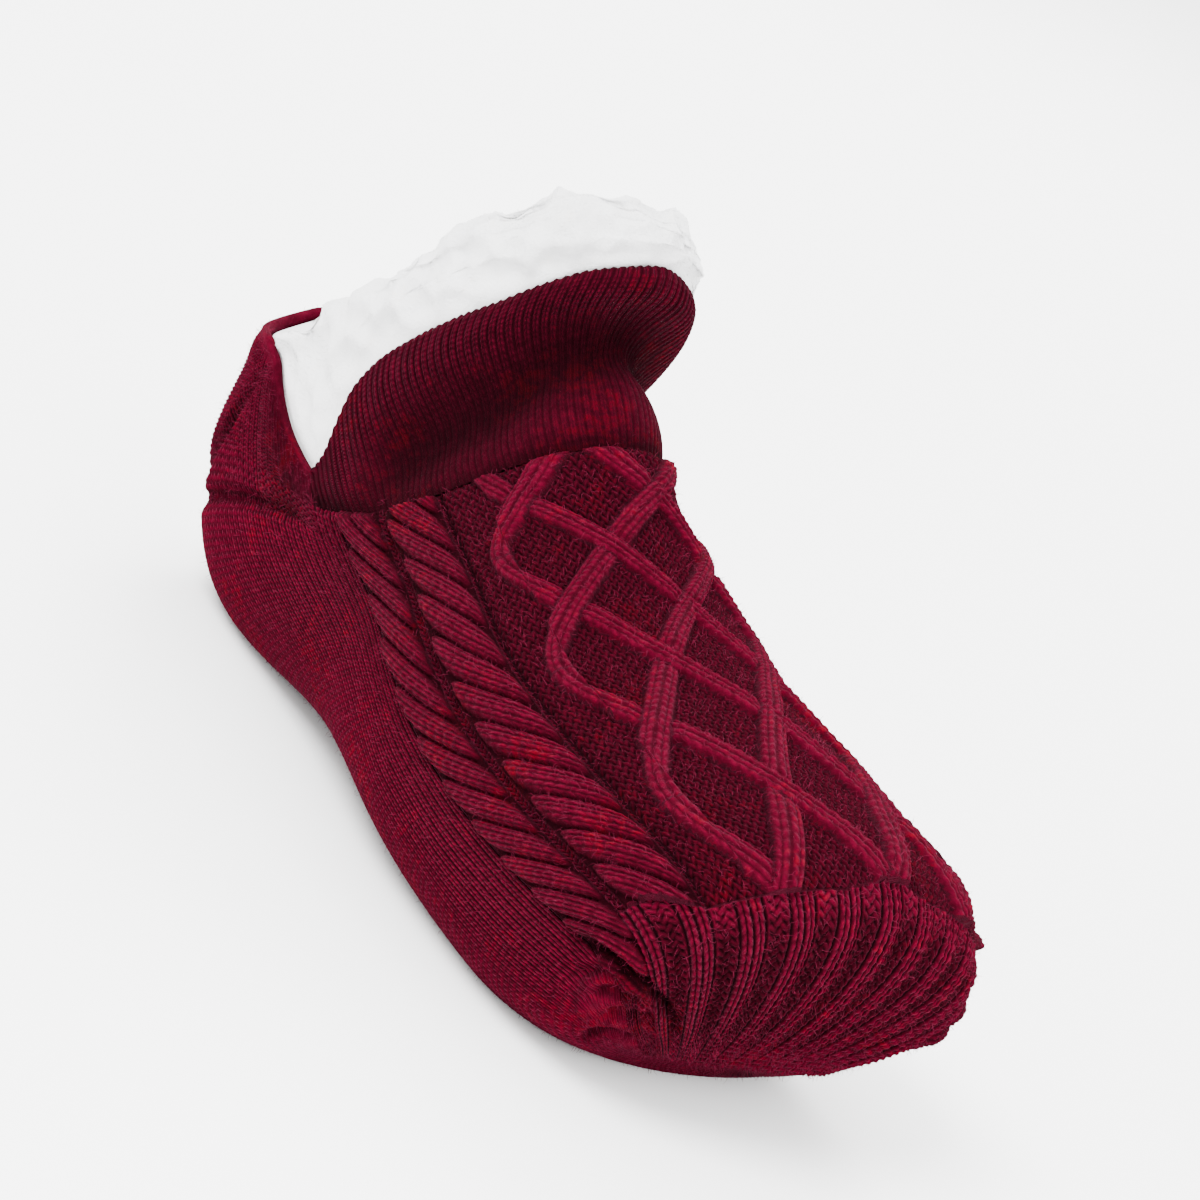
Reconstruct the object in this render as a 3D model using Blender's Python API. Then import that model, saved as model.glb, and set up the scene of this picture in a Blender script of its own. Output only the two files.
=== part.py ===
# Slipper sock: cable-knit upper, plain-knit sole, ribbed cuff, fleece collar and fleece footbed.
# Metres, +X to the toe, +Z up, the same for either foot, standing on z = 0.
import math

import bmesh
import bpy
import numpy as np

# Main sizes
LENGTH = 0.240
BALL_WIDTH = 0.098
COLLAR_HEIGHT = 0.1275

# Walls and gaps
KNIT_WALL = 0.0026
SOLE_WALL = 0.0030
CUFF_STEP = 0.0007
JOINT_GAP = 0.0003

# Raised knit
CORD_HEIGHT = 0.0019
CABLE_HEIGHT = 0.0017
RIB_HEIGHT = 0.0012
CORD_HALF_WIDTH_PER_DIAMOND = 0.30
CABLE_HIGH_AND_LOW = (1.0, 0.6)

# Lattice: half a diamond as a share round and as stations, and where the first one starts
HALF_DIAMOND_AROUND = 0.0967
HALF_DIAMOND_ALONG = 0.0955
LATTICE_START = 0.165
LATTICE_LEVELS = 6
DIAMONDS_EACH_SIDE = 3
CELLS_PER_HALF_DIAMOND = 4
LAST_RIB = 0.47

# Stations from a start to an end, over which relief rises from the toe or fades
SEAM_FADE = (0.0, 0.04)
RIB_FADE = (0.12, 0.17)
CABLE_RISE = (0.06, 0.16)
WALL_RISE = (0.016, 0.066)

# Collar lip, and the trough below it, which fades out between two shares round
LIP_FLARE = 0.0045
LIP_REACH = 0.0085
TROUGH_DEPTH = 0.0018
TROUGH_REACH = 0.0065
TROUGH_BELOW_LIP = 2.4
TROUGH_FADE = (0.30, 0.44)

# Fleece
FLEECE_THICK = 0.0100
FLEECE_DEPTH = 0.0110
FLEECE_CLEARANCE = 0.0006
TUFT_HEIGHT = 0.0011
TUFT_WAVES = (9.0, 23.0)
TUFT_TURN = 1.3
TUFTED_ACROSS = 0.3
TUFTED_ALONG = 0.4
LOW_FLEECE_SHARE = 0.62
FULL_FLEECE_STATIONS = 0.05

# Footbed: sizes, then shares of its thickness at its ends and edges, of the way to the sole's
# edge, and of its half width from an edge to its middle
FOOTBED_THICK = 0.0045
FOOTBED_GAP = 0.0005
FOOTBED_HALF_WIDTH = 0.036
FOOTBED_END = 0.6
FOOTBED_EDGE = 0.5
FOOTBED_REACH = 0.9
FOOTBED_ACROSS = (1.0, 0.8, 0.5, 0.25, 0.0)
ROWS_PER_FOOTBED_ROW = 2

# Shares round, from the instep (0) to the sole (1), where the cable panel and the cuff end
PANEL_EDGE = 0.5
CUFF_END = 0.54
CELLS_OVER_HEEL_TURN = 3
CELLS_UP_CUFF = 6

# Shape of the sections: last station, power of the curve of their lower half, steps of a half
LAST_STATION = 1.12
LOWER_POWER = 0.8
OUTLINE_STEPS = 60
CORNER_SOFTNESS = 0.010

# Steps for slopes, and a distance too small to count
STATION_STEP = 0.004
SHARE_STEP = 0.006
TINY = 1e-6

# Sections from the toe seam to above the collar, each a plane from a top point to a bottom point
# station, top x / length, top z / collar height, bottom x / length, bottom z / collar height,
# half width / ball width
SECTIONS = (
    (0.00, 0.9350, 0.1020, 0.9115, 0.0810, 0.245),
    (0.05, 0.9696, 0.2275, 0.8942, 0.0510, 0.332),
    (0.10, 0.9942, 0.3569, 0.8813, 0.0251, 0.403),
    (0.16, 0.9833, 0.4745, 0.8646, 0.0016, 0.464),
    (0.26, 0.8729, 0.5290, 0.7896, -0.0353, 0.500),
    (0.38, 0.7517, 0.5410, 0.6688, -0.0471, 0.487),
    (0.50, 0.6538, 0.5647, 0.5154, -0.0157, 0.457),
    (0.62, 0.5825, 0.6157, 0.3625, 0.0190, 0.392),
    (0.72, 0.5317, 0.6750, 0.2167, -0.0080, 0.322),
    (0.80, 0.4892, 0.7294, 0.0875, 0.0080, 0.288),
    (0.90, 0.4108, 0.8533, 0.0021, 0.1960, 0.302),
    (1.00, 0.3875, 1.0000, 0.0333, 0.4353, 0.345),
    (1.10, 0.3800, 1.1500, 0.0680, 0.6700, 0.370),
)

# Lines round the collar, from the instep (0) over the side (0.5) to the back of the heel (1)
COLLAR_COLUMNS = ("share round", "heel turn", "cuff foot", "knit edge", "fleece top", "lip flare")
COLLAR_LINES = (
    (0.000, 0.7380, 0.806, 0.985, 1.052, 1.00),
    (0.100, 0.7380, 0.801, 0.968, 1.056, 0.90),
    (0.200, 0.7380, 0.791, 0.936, 1.050, 0.65),
    (0.330, 0.7380, 0.779, 0.912, 1.038, 0.35),
    (0.390, 0.7380, 0.777, 0.900, 1.034, 0.25),
    (0.440, 0.7380, 0.780, 0.882, 1.028, 0.15),
    (0.500, 0.7380, 0.795, 0.842, 1.014, 0.05),
    (0.540, 0.7800, 0.806, 0.829, 1.004, 0.00),
    (0.585, 0.8030, 0.826, 0.868, 0.992, 0.05),
    (0.640, 0.8200, 0.848, 0.934, 0.984, 0.20),
    (0.700, 0.8330, 0.868, 0.968, 0.988, 0.40),
    (0.770, 0.8430, 0.880, 0.990, 1.001, 0.45),
    (0.845, 0.8520, 0.890, 1.014, 1.023, 0.40),
    (0.920, 0.8600, 0.899, 1.040, 1.048, 0.35),
    (1.000, 0.8650, 0.905, 1.050, 1.058, 0.35),
)

# Columns round the knit, beside the ones of the lattice: gutter, two cables, edge, cuff end, sole
SIDE_COLUMNS = (0.325, 0.352, 0.379, 0.406, 0.430, 0.455, 0.480, PANEL_EDGE, CUFF_END,
                0.585, 0.640, 0.700, 0.770, 0.845, 0.920, 1.0)
TOE_ROWS = (0.0, 0.022, 0.050, 0.086, 0.125)

# Cables: share round, height / full height
CABLE_PROFILE = ((0.325, 0.0), (0.352, 1.0), (0.379, 1.0), (0.406, 0.1), (0.430, 0.1),
                 (0.455, 1.0), (0.480, 0.9), (0.500, 0.0))

# Outline of the fleece, from under the knit edge up, over the top and down inside
# share along (-1 hidden foot, 0 knit edge, 1 top), share across (0 at the knit, 1 inside)
FLEECE_SECTION = (
    (-1.00, 0.35), (-0.88, 0.00), (-0.45, 0.00), (0.00, 0.00), (0.20, -0.20), (0.48, -0.34),
    (0.78, -0.18), (0.95, 0.14), (1.00, 0.48), (0.94, 0.84), (0.62, 1.10), (0.10, 1.08),
    (-0.45, 1.00), (-0.88, 0.86),
)

# Footbed from its toe end to its heel end: station, half width / full half width
FOOTBED = ((0.13, 0.62), (0.17, 0.86), (0.24, 1.00), (0.36, 0.98), (0.48, 0.88), (0.58, 0.76),
           (0.66, 0.70), (0.73, 0.66), (0.785, 0.52), (0.815, 0.34))

# Colours, as red, green and blue shares, then roughness
LOOKS = {
    "upper": ((0.150, 0.006, 0.030), 0.95),
    "sole": ((0.130, 0.005, 0.026), 0.95),
    "cuff": ((0.115, 0.004, 0.022), 0.95),
    "fleece_collar": ((0.830, 0.830, 0.840), 1.00),
    "insole": ((0.800, 0.795, 0.790), 1.00),
}


def cubic(knots, values, at):
    """Natural cubic through the rows of a table."""
    knots = np.asarray(knots, float)
    values = np.asarray(values, float)
    at = np.asarray(at, float)
    count = len(knots)
    step = np.diff(knots)
    system = np.eye(count)
    right = np.zeros_like(values)
    for i in range(1, count - 1):
        system[i, i - 1] = step[i - 1]
        system[i, i] = 2.0 * (step[i - 1] + step[i])
        system[i, i + 1] = step[i]
        right[i] = 6.0 * ((values[i + 1] - values[i]) / step[i]
                          - (values[i] - values[i - 1]) / step[i - 1])
    bend = np.linalg.solve(system, right)
    i = np.clip(np.searchsorted(knots, at, side="right") - 1, 0, count - 2)
    h = step[i][..., None]
    a = (knots[i + 1] - at)[..., None]
    b = (at - knots[i])[..., None]
    return (bend[i] * a ** 3 / (6 * h) + bend[i + 1] * b ** 3 / (6 * h)
            + (values[i] / h - bend[i] * h / 6) * a + (values[i + 1] / h - bend[i + 1] * h / 6) * b)


def smooth(x):
    x = np.clip(x, 0.0, 1.0)
    return x * x * (3.0 - 2.0 * x)


def rise(x, ends):
    """From 0 at the first end to 1 at the second."""
    return smooth((x - ends[0]) / (ends[1] - ends[0]))


def section_rows(station):
    """Top x, top z, bottom x, bottom z and half width of the sections, in metres."""
    table = np.array(SECTIONS)
    scale = np.array([LENGTH, COLLAR_HEIGHT, LENGTH, COLLAR_HEIGHT, BALL_WIDTH])
    rows = table[:, 1:] * scale
    middle = (rows[0, 0:2] + rows[0, 2:4]) / 2.0
    toward = rows[0, 0:2] - rows[0, 2:4]
    toward = toward / np.linalg.norm(toward)
    rows[0, 0:2] = middle + toward * (KNIT_WALL + JOINT_GAP)
    rows[0, 2:4] = middle - toward * (SOLE_WALL + JOINT_GAP)
    return cubic(table[:, 0], rows, np.clip(station, 0.0, LAST_STATION))


ANGLES = np.linspace(0.0, math.pi, OUTLINE_STEPS + 1)


def outlines(rows):
    """Half outline of each section as points from its top to its bottom, on the y < 0 side."""
    top_x, top_z, low_x, low_z, half = [rows[:, k][:, None] for k in range(5)]
    cos = np.cos(ANGLES)[None, :]
    sin = np.sin(ANGLES)[None, :]
    power = np.where(cos > 0.0, 1.0, LOWER_POWER)
    along = np.sign(cos) * np.abs(cos) ** power
    across = np.abs(sin) ** power
    share = (1.0 - along) / 2.0
    return np.stack([top_x + (low_x - top_x) * share,
                     -half * across,
                     np.maximum(top_z + (low_z - top_z) * share, 0.0)], axis=2)


def pick(lines, share):
    """Point of each outline at a share of its own length."""
    leg = np.linalg.norm(np.diff(lines, axis=1), axis=2)
    total = np.concatenate([np.zeros((len(lines), 1)), np.cumsum(leg, axis=1)], axis=1)
    goal = share * total[:, -1]
    index = np.clip((total < goal[:, None]).sum(axis=1) - 1, 0, lines.shape[1] - 2)
    pick_row = np.arange(len(lines))
    part = (goal - total[pick_row, index]) / np.maximum(leg[pick_row, index], 1e-9)
    part = part[:, None]
    return lines[pick_row, index] * (1.0 - part) + lines[pick_row, index + 1] * part


def base(station, share):
    """Point of the plain form; a share under 0 or over 1 goes on round the far side."""
    folded = np.where(share < 0.0, -share, np.where(share > 1.0, 2.0 - share, share))
    side = np.where((share < 0.0) | (share > 1.0), -1.0, 1.0)
    point = pick(outlines(section_rows(station)), folded)
    point[:, 1] *= side
    return point


def frame_at(station, share):
    """Plain point, outward direction and metres per station."""
    before = np.maximum(station - STATION_STEP, 0.0)
    after = station + STATION_STEP
    along = (base(after, share) - base(before, share)) / (after - before)[:, None]
    around = base(station, share + SHARE_STEP) - base(station, share - SHARE_STEP)
    out = np.cross(along, around)
    out = out / np.maximum(np.linalg.norm(out, axis=1), 1e-12)[:, None]
    return base(station, share), out, np.linalg.norm(along, axis=1)


def line(column, share):
    """One of the collar lines at a share round, straight between its rows with soft corners."""
    table = np.array(COLLAR_LINES)
    values = table[:, COLLAR_COLUMNS.index(column)]
    total = 0.0
    for shift, weight in ((-CORNER_SOFTNESS, 0.25), (0.0, 0.5), (CORNER_SOFTNESS, 0.25)):
        total = total + weight * np.interp(np.abs(share + shift), table[:, 0], values)
    return total


def form(station, share):
    """Plain point moved out by the lip and in by the trough below it, with its direction."""
    point, out, rate = frame_at(station, share)
    below = (line("knit edge", share) - station) * rate
    lip = LIP_FLARE * line("lip flare", share) * np.exp(-(np.maximum(below, 0.0) / LIP_REACH) ** 2)
    from_middle = (below - TROUGH_BELOW_LIP * LIP_REACH) / TROUGH_REACH
    trough = TROUGH_DEPTH * (1.0 - rise(share, TROUGH_FADE)) * np.exp(-from_middle ** 2)
    return point + out * (lip - trough)[:, None], out, rate


def wall_offset(station, share, depth):
    """Point of the inner face, a wall's depth in; at the toe seam the section itself shrinks."""
    full = max(KNIT_WALL, SOLE_WALL)
    point, out = form(station, share)[:2]
    rows = section_rows(station)
    toward = rows[:, 0:2] - rows[:, 2:4]
    toward = toward / np.linalg.norm(toward, axis=1)[:, None]
    rows[:, 0:2] -= toward * full
    rows[:, 2:4] += toward * full
    rows[:, 4] -= full
    shrunk = pick(outlines(rows), np.abs(share))
    mix = rise(station, WALL_RISE)[:, None]
    inner = shrunk * (1.0 - mix) + (point - out * full) * mix
    return point + (inner - point) * (depth / full)


def columns():
    lattice = [k * HALF_DIAMOND_AROUND / CELLS_PER_HALF_DIAMOND
               for k in range(DIAMONDS_EACH_SIDE * CELLS_PER_HALF_DIAMOND + 1)]
    near = [(share, -1.0) for share in lattice + list(SIDE_COLUMNS)]
    far = [(share, 1.0) for share, side in near[-2:0:-1]]
    return near + far


def lattice_rows():
    count = LATTICE_LEVELS * CELLS_PER_HALF_DIAMOND
    step = HALF_DIAMOND_ALONG / CELLS_PER_HALF_DIAMOND
    return list(TOE_ROWS) + [LATTICE_START + k * step for k in range(count + 1)]


PANEL_ROWS = lattice_rows()
HEEL_ROW = len(PANEL_ROWS) - 1
CUFF_ROW = HEEL_ROW + CELLS_OVER_HEEL_TURN
LAST_ROW = CUFF_ROW + CELLS_UP_CUFF
LOOP = columns()


def station_of(row, share):
    """Station of a row at a share round, so that rows follow the heel turn and the cuff."""
    turn = np.where(share > PANEL_EDGE, line("heel turn", share), PANEL_ROWS[HEEL_ROW])
    foot = line("cuff foot", share)
    edge = line("knit edge", share)
    if row <= HEEL_ROW:
        return PANEL_ROWS[row] / PANEL_ROWS[HEEL_ROW] * turn
    if row <= CUFF_ROW:
        part = (row - HEEL_ROW) / CELLS_OVER_HEEL_TURN
        return turn + (foot - turn) * part
    part = (row - CUFF_ROW) / CELLS_UP_CUFF
    return foot + (edge - foot) * part


def cord_distance(row, share):
    """Distance from the nearest cord of the lattice, in half diamonds."""
    around = share / HALF_DIAMOND_AROUND
    along = (station_of(row, share) - LATTICE_START) / HALF_DIAMOND_ALONG
    odd = (DIAMONDS_EACH_SIDE + 1) % 2
    gaps = []
    for total in (around + along, around - along):
        turn = (total - odd) / 2.0
        gaps.append(np.abs(turn - np.round(turn)) * 2.0)
    return np.minimum(gaps[0], gaps[1])


def relief(row, share):
    """Height of the knit's raised cords, cables and toe ribs."""
    station = station_of(row, share)
    lattice_end = DIAMONDS_EACH_SIDE * HALF_DIAMOND_AROUND
    from_cord = cord_distance(row, share) / CORD_HALF_WIDTH_PER_DIAMOND
    cord = CORD_HEIGHT * np.clip(1.0 - from_cord, 0.0, 1.0)
    cord = np.where(share <= lattice_end + TINY, cord, 0.0)
    if station.max() < LATTICE_START - TINY:
        cord = np.zeros_like(cord)
    profile = np.array(CABLE_PROFILE)
    level = CABLE_HIGH_AND_LOW[row % 2]
    cable = CABLE_HEIGHT * np.interp(share, profile[:, 0], profile[:, 1]) * level
    cable = cable * rise(station, CABLE_RISE)
    rib_phase = share / HALF_DIAMOND_AROUND * 2.0 * math.pi
    rib = RIB_HEIGHT * (0.5 + 0.5 * np.cos(rib_phase)) * (1.0 - rise(station, RIB_FADE))
    rib = np.where(share < LAST_RIB, rib, 0.0)
    seam = rise(station, SEAM_FADE)
    return (cord + cable + rib) * seam * (row < CUFF_ROW) * (share < PANEL_EDGE)


def in_piece(name, row, share):
    """Whether the cell above a row, at a share round, belongs to a knit piece."""
    if row < HEEL_ROW:
        owner = "upper" if share < PANEL_EDGE else "sole"
    elif row < CUFF_ROW:
        owner = "upper"
    else:
        owner = "cuff" if share < CUFF_END else "upper"
    return owner == name


def add_object(name, points, faces, middle_x):
    mesh = bpy.data.meshes.new(name)
    placed = [(p[0] - middle_x, p[1], p[2]) for p in points]
    mesh.from_pydata(placed, [], faces)
    mesh.update()
    build = bmesh.new()
    build.from_mesh(mesh)
    bmesh.ops.recalc_face_normals(build, faces=build.faces)
    build.to_mesh(mesh)
    build.free()
    colour, roughness = LOOKS[name]
    material = bpy.data.materials.new(name)
    material.use_nodes = True
    shader = material.node_tree.nodes["Principled BSDF"]
    shader.inputs["Base Color"].default_value = (*colour, 1.0)
    shader.inputs["Roughness"].default_value = roughness
    shader.inputs["Metallic"].default_value = 0.0
    mesh.materials.append(material)
    made = bpy.data.objects.new(name, mesh)
    bpy.context.scene.collection.objects.link(made)
    return made


def knit_cells(name):
    """Which cells belong to a knit piece, by row and column."""
    count = len(LOOP)
    middle = [0.5 * (LOOP[column][0] + LOOP[(column + 1) % count][0]) for column in range(count)]
    return [[in_piece(name, row, share) for share in middle] for row in range(LAST_ROW)]


def has(cells, row, column):
    return 0 <= row < LAST_ROW and cells[row][column % len(LOOP)]


def corners(row, column):
    """Row and column of a cell's four corners."""
    beside = (column + 1) % len(LOOP)
    return (row, column), (row, beside), (row + 1, beside), (row + 1, column)


def into_piece(cells, row, column):
    """Steps by row and by column that lead from a corner into its piece."""
    by_row = 0
    by_column = 0
    for below in (0, -1):
        for before in (0, -1):
            beyond = not 0 <= row + below < LAST_ROW
            if beyond or has(cells, row + below, column + before):
                by_row += 1 if below == 0 else -1
                by_column += 1 if before == 0 else -1
    return by_row, by_column


def shell_points(cells, nodes, wall, outer_height):
    """Outer and inner point of each corner of a knit piece."""
    outer = np.zeros((len(nodes), 3))
    inner = np.zeros((len(nodes), 3))
    for row in sorted({row for row, column in nodes}):
        members = [number for number, node in enumerate(nodes) if node[0] == row]
        share = np.array([LOOP[nodes[number][1]][0] for number in members])
        side = np.array([LOOP[nodes[number][1]][1] for number in members])
        inward = np.sign([into_piece(cells, *nodes[number]) for number in members])
        station = station_of(row, share)
        rate = form(station, share)[2]
        wide = base(station, share + SHARE_STEP) - base(station, share - SHARE_STEP)
        half_round = np.linalg.norm(wide, axis=1) / (2.0 * SHARE_STEP)
        moved = station + inward[:, 0] * 0.5 * JOINT_GAP / rate
        turned = share - side * inward[:, 1] * 0.5 * JOINT_GAP / half_round
        if row == 0:
            moved = station
        shell, out = form(moved, turned)[:2]
        outer[members] = shell + out * outer_height(row, share)[:, None]
        inner[members] = wall_offset(moved, turned, wall)
        outer[members, 1] *= -side
        inner[members, 1] *= -side
    outer[:, 2] = np.maximum(outer[:, 2], 0.0)
    inner[:, 2] = np.maximum(inner[:, 2], wall)
    return outer, inner


def shell_faces(cells, nodes):
    """Outer, inner and rim faces of a knit piece."""
    index = {node: number for number, node in enumerate(nodes)}
    inside = len(nodes)
    faces = []
    for row in range(LAST_ROW):
        for column in range(len(LOOP)):
            if not cells[row][column]:
                continue
            a, b, c, d = [index[corner] for corner in corners(row, column)]
            faces += [(a, b, c), (a, c, d)] if cord_rises(row, column) else [(a, b, d), (b, c, d)]
            faces += [(a + inside, d + inside, c + inside), (a + inside, c + inside, b + inside)]
            sides = ((row - 1, column, a, b), (row + 1, column, d, c),
                     (row, column - 1, a, d), (row, column + 1, b, c))
            for beside_row, beside_column, p, q in sides:
                if not has(cells, beside_row, beside_column):
                    faces += [(p, p + inside, q + inside), (p, q + inside, q)]
    return faces


def knit_piece(name, wall, outer_height):
    """Closed shell over the cells of one knit piece, pulled back half a gap from its neighbours."""
    cells = knit_cells(name)
    nodes = sorted({corner for row in range(LAST_ROW) for column in range(len(LOOP))
                    if cells[row][column] for corner in corners(row, column)})
    outer, inner = shell_points(cells, nodes, wall, outer_height)
    return np.concatenate([outer, inner]), shell_faces(cells, nodes)


def cord_rises(row, column):
    """Whether the cord through a cell runs from its first corner to the opposite one."""
    count = len(LOOP)
    share = 0.5 * (LOOP[column][0] + LOOP[(column + 1) % count][0])
    side = LOOP[column][1] if LOOP[column][0] < LOOP[(column + 1) % count][0] else 1.0
    around = share / HALF_DIAMOND_AROUND
    here = 0.5 * (PANEL_ROWS[min(row, HEEL_ROW)] + PANEL_ROWS[min(row + 1, HEEL_ROW)])
    along = (here - LATTICE_START) / HALF_DIAMOND_ALONG
    odd = (DIAMONDS_EACH_SIDE + 1) % 2
    leaning = []
    for total in (around + along, around - along):
        turn = (total - odd) / 2.0
        leaning.append(abs(turn - round(turn)))
    with_share = leaning[1] < leaning[0]
    return with_share if side < 0.0 else not with_share


def fleece_collar():
    """Roll of fleece that follows the knit edge, stands above it and fills the side notches."""
    count = len(LOOP)
    share = np.array([share for share, side in LOOP])
    side = np.array([side for share, side in LOOP])
    edge = line("knit edge", share)
    top = line("fleece top", share)
    foot = edge - FLEECE_DEPTH / form(edge, share)[2]
    full = smooth((top - edge) / FULL_FLEECE_STATIONS)
    thick = FLEECE_THICK * (LOW_FLEECE_SHARE + (1.0 - LOW_FLEECE_SHARE) * full)
    rings = []
    for k, (along, across) in enumerate(FLEECE_SECTION):
        station = np.where(along < 0.0, edge + along * (edge - foot), edge + along * (top - edge))
        shell, out = form(station, share)[:2]
        reach = across * np.where(across < 0.0, full, 1.0)
        depth = KNIT_WALL + FLEECE_CLEARANCE + reach * thick
        free = across > TUFTED_ACROSS or along > TUFTED_ALONG
        wave = sum(np.sin(turns * math.pi * share + TUFT_TURN * k) for turns in TUFT_WAVES)
        tuft = TUFT_HEIGHT * 0.5 * wave * full * free
        ring = shell - out * (depth - tuft)[:, None]
        ring[:, 1] *= -side
        rings.append(ring)
    points = np.concatenate(rings)
    faces = []
    for ring in range(len(rings)):
        beside = (ring + 1) % len(rings)
        for column in range(count):
            after = (column + 1) % count
            a, b = ring * count + column, ring * count + after
            c, d = beside * count + after, beside * count + column
            faces += [(a, b, c), (a, c, d)]
    return points, faces


def lay_row(row, posts, across, full_width, thick):
    """Lower and upper points of one row of the footbed, on the near side."""
    station = station_of(row, posts)
    laid = wall_offset(station, posts, SOLE_WALL + FOOTBED_GAP)
    above = wall_offset(station, posts, SOLE_WALL + FOOTBED_GAP + FOOTBED_THICK)
    laid[:, 2] = np.maximum(laid[:, 2], SOLE_WALL + FOOTBED_GAP)
    above[:, 2] = np.maximum(above[:, 2], SOLE_WALL + FOOTBED_GAP + FOOTBED_EDGE * FOOTBED_THICK)
    leg = np.linalg.norm(np.diff(laid, axis=0), axis=1)
    from_middle = np.concatenate([[0.0], np.cumsum(leg[::-1])])
    half = min(full_width, FOOTBED_REACH * from_middle[-1])
    low, high = [np.stack([np.interp(across * half, from_middle, points[::-1, k])
                           for k in range(3)], axis=1) for points in (laid, above)]
    return low, low + (high - low) * thick[:, None]


def footbed():
    """Fleece footbed laid on the faces of the sole's inner side."""
    table = np.array(FOOTBED)
    across = np.array(FOOTBED_ACROSS + FOOTBED_ACROSS[-2::-1])
    width = len(across)
    side = np.where(np.arange(width) < len(FOOTBED_ACROSS), 1.0, -1.0)
    edge = np.where(across == FOOTBED_ACROSS[0], FOOTBED_EDGE, 1.0)
    posts = np.array([share for share, turn in LOOP if turn < 0.0 and share >= PANEL_EDGE])
    used = [row for row in range(0, HEEL_ROW, ROWS_PER_FOOTBED_ROW)
            if table[0, 0] <= station_of(row, np.ones(1))[0] <= table[-1, 0]]
    low, high = [], []
    for row in used:
        station = station_of(row, posts)[-1]
        full_width = FOOTBED_HALF_WIDTH * np.interp(station, table[:, 0], table[:, 1])
        end = FOOTBED_END if row in (used[0], used[-1]) else 1.0
        inner, top = lay_row(row, posts, across, full_width, edge * end)
        inner[:, 1] *= side
        top[:, 1] *= side
        low.append(inner)
        high.append(top)
    rows = len(used)
    points = np.concatenate(low + high)
    above = rows * width
    faces = []
    for row in range(rows - 1):
        for column in range(width - 1):
            a = row * width + column
            b, c, d = a + 1, a + width + 1, a + width
            faces += [(a, b, c), (a, c, d)]
            faces += [(a + above, d + above, c + above), (a + above, c + above, b + above)]
    rim = [row * width for row in range(rows)]
    rim += [(rows - 1) * width + column for column in range(1, width)]
    rim += [row * width + width - 1 for row in range(rows - 2, -1, -1)]
    rim += list(range(width - 2, 0, -1))
    for place, p in enumerate(rim):
        q = rim[(place + 1) % len(rim)]
        faces += [(p, q, q + above), (p, q + above, p + above)]
    return points, faces


def main():
    for old in list(bpy.data.objects):
        bpy.data.objects.remove(old, do_unlink=True)
    pieces = {
        "upper": knit_piece("upper", KNIT_WALL, relief),
        "sole": knit_piece("sole", SOLE_WALL, lambda row, share: np.zeros_like(share)),
        "cuff": knit_piece("cuff", KNIT_WALL - CUFF_STEP,
                           lambda row, share: np.full_like(share, -CUFF_STEP)),
        "fleece_collar": fleece_collar(),
        "insole": footbed(),
    }
    ends = [(points[:, 0].min(), points[:, 0].max()) for points, faces in pieces.values()]
    middle_x = 0.5 * (min(low for low, high in ends) + max(high for low, high in ends))
    for name, (points, faces) in pieces.items():
        add_object(name, points, faces, middle_x)


main()
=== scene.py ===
import math

import bpy
import numpy as np
from mathutils import Matrix, Vector


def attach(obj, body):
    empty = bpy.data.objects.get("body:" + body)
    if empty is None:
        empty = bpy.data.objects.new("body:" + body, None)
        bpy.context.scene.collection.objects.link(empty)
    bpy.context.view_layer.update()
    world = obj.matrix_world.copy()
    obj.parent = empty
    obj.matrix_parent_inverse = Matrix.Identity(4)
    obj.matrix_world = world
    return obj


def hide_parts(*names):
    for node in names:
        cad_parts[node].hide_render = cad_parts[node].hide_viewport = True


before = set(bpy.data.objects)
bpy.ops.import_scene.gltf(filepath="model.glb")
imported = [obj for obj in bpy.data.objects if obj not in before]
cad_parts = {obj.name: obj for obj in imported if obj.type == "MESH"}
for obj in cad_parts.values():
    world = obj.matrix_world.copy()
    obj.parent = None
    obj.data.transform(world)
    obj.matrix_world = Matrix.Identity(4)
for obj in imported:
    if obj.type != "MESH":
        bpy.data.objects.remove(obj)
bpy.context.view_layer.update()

# Main sizes, in metres, as in the solids
LENGTH = 0.240
BALL_WIDTH = 0.098
COLLAR_HEIGHT = 0.1275
KNIT_WALL = 0.0026
SOLE_WALL = 0.0030
JOINT_GAP = 0.0003
LIP_FLARE = 0.0045
LIP_REACH = 0.0085
TROUGH_DEPTH = 0.0018
TROUGH_REACH = 0.0065
TROUGH_BELOW_LIP = 2.4
TROUGH_FADE = (0.30, 0.44)
FLEECE_THICK = 0.0100
FLEECE_DEPTH = 0.0110
FLEECE_CLEARANCE = 0.0006

# Rounding of the sections' lower half, and of the collar lines' corners in shares
LOWER_POWER = 0.8
CORNER_SOFTNESS = 0.010

# Where pieces meet: shares of the half girth (0 instep, 1 sole and heel), and stations along the form
PANEL_EDGE = 0.5
CUFF_END = 0.54
HEEL_STATION = 0.738
INSTEP_STATION = 0.79
TURNING_FROM = 0.60
LAST_STATION = 1.12

# How far an edge runs on under its neighbour, and how deep
TUCK_STATIONS = 0.016
TUCK_SHARE = 0.012
TUCK_ROWS = 8
TUCK_DEPTH = 0.0022

# Metres to a whole share, to a whole station along the foot, and to one up the cuff
HALF_GIRTH = 0.137
FOOT_LENGTH = 0.212
CUFF_RATE = 0.205

# Stitches: how many stand round the sock, how they are laid on the grid, and their shape
WALES = 72
COLUMNS_PER_WALE = 4
COURSE = 0.00156
ROWS_PER_COURSE = 3
SOLE_ROWS_PER_COURSE = 2
EDGE_ROWS = 84
HEEL_TURN_ROWS = 24
RIM_ROWS = 8
LEG_REACH = 0.88
LEG_SLANT = 0.55
BAR_WAVE = 0.18
BAR_POWER = 0.7
BAR_SCALE = 1.15
INSTEP_STITCH = 0.00078
SOLE_STITCH = 0.00068
HEEL_STITCH = 0.00065
CUFF_STITCH = 0.00018

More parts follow.
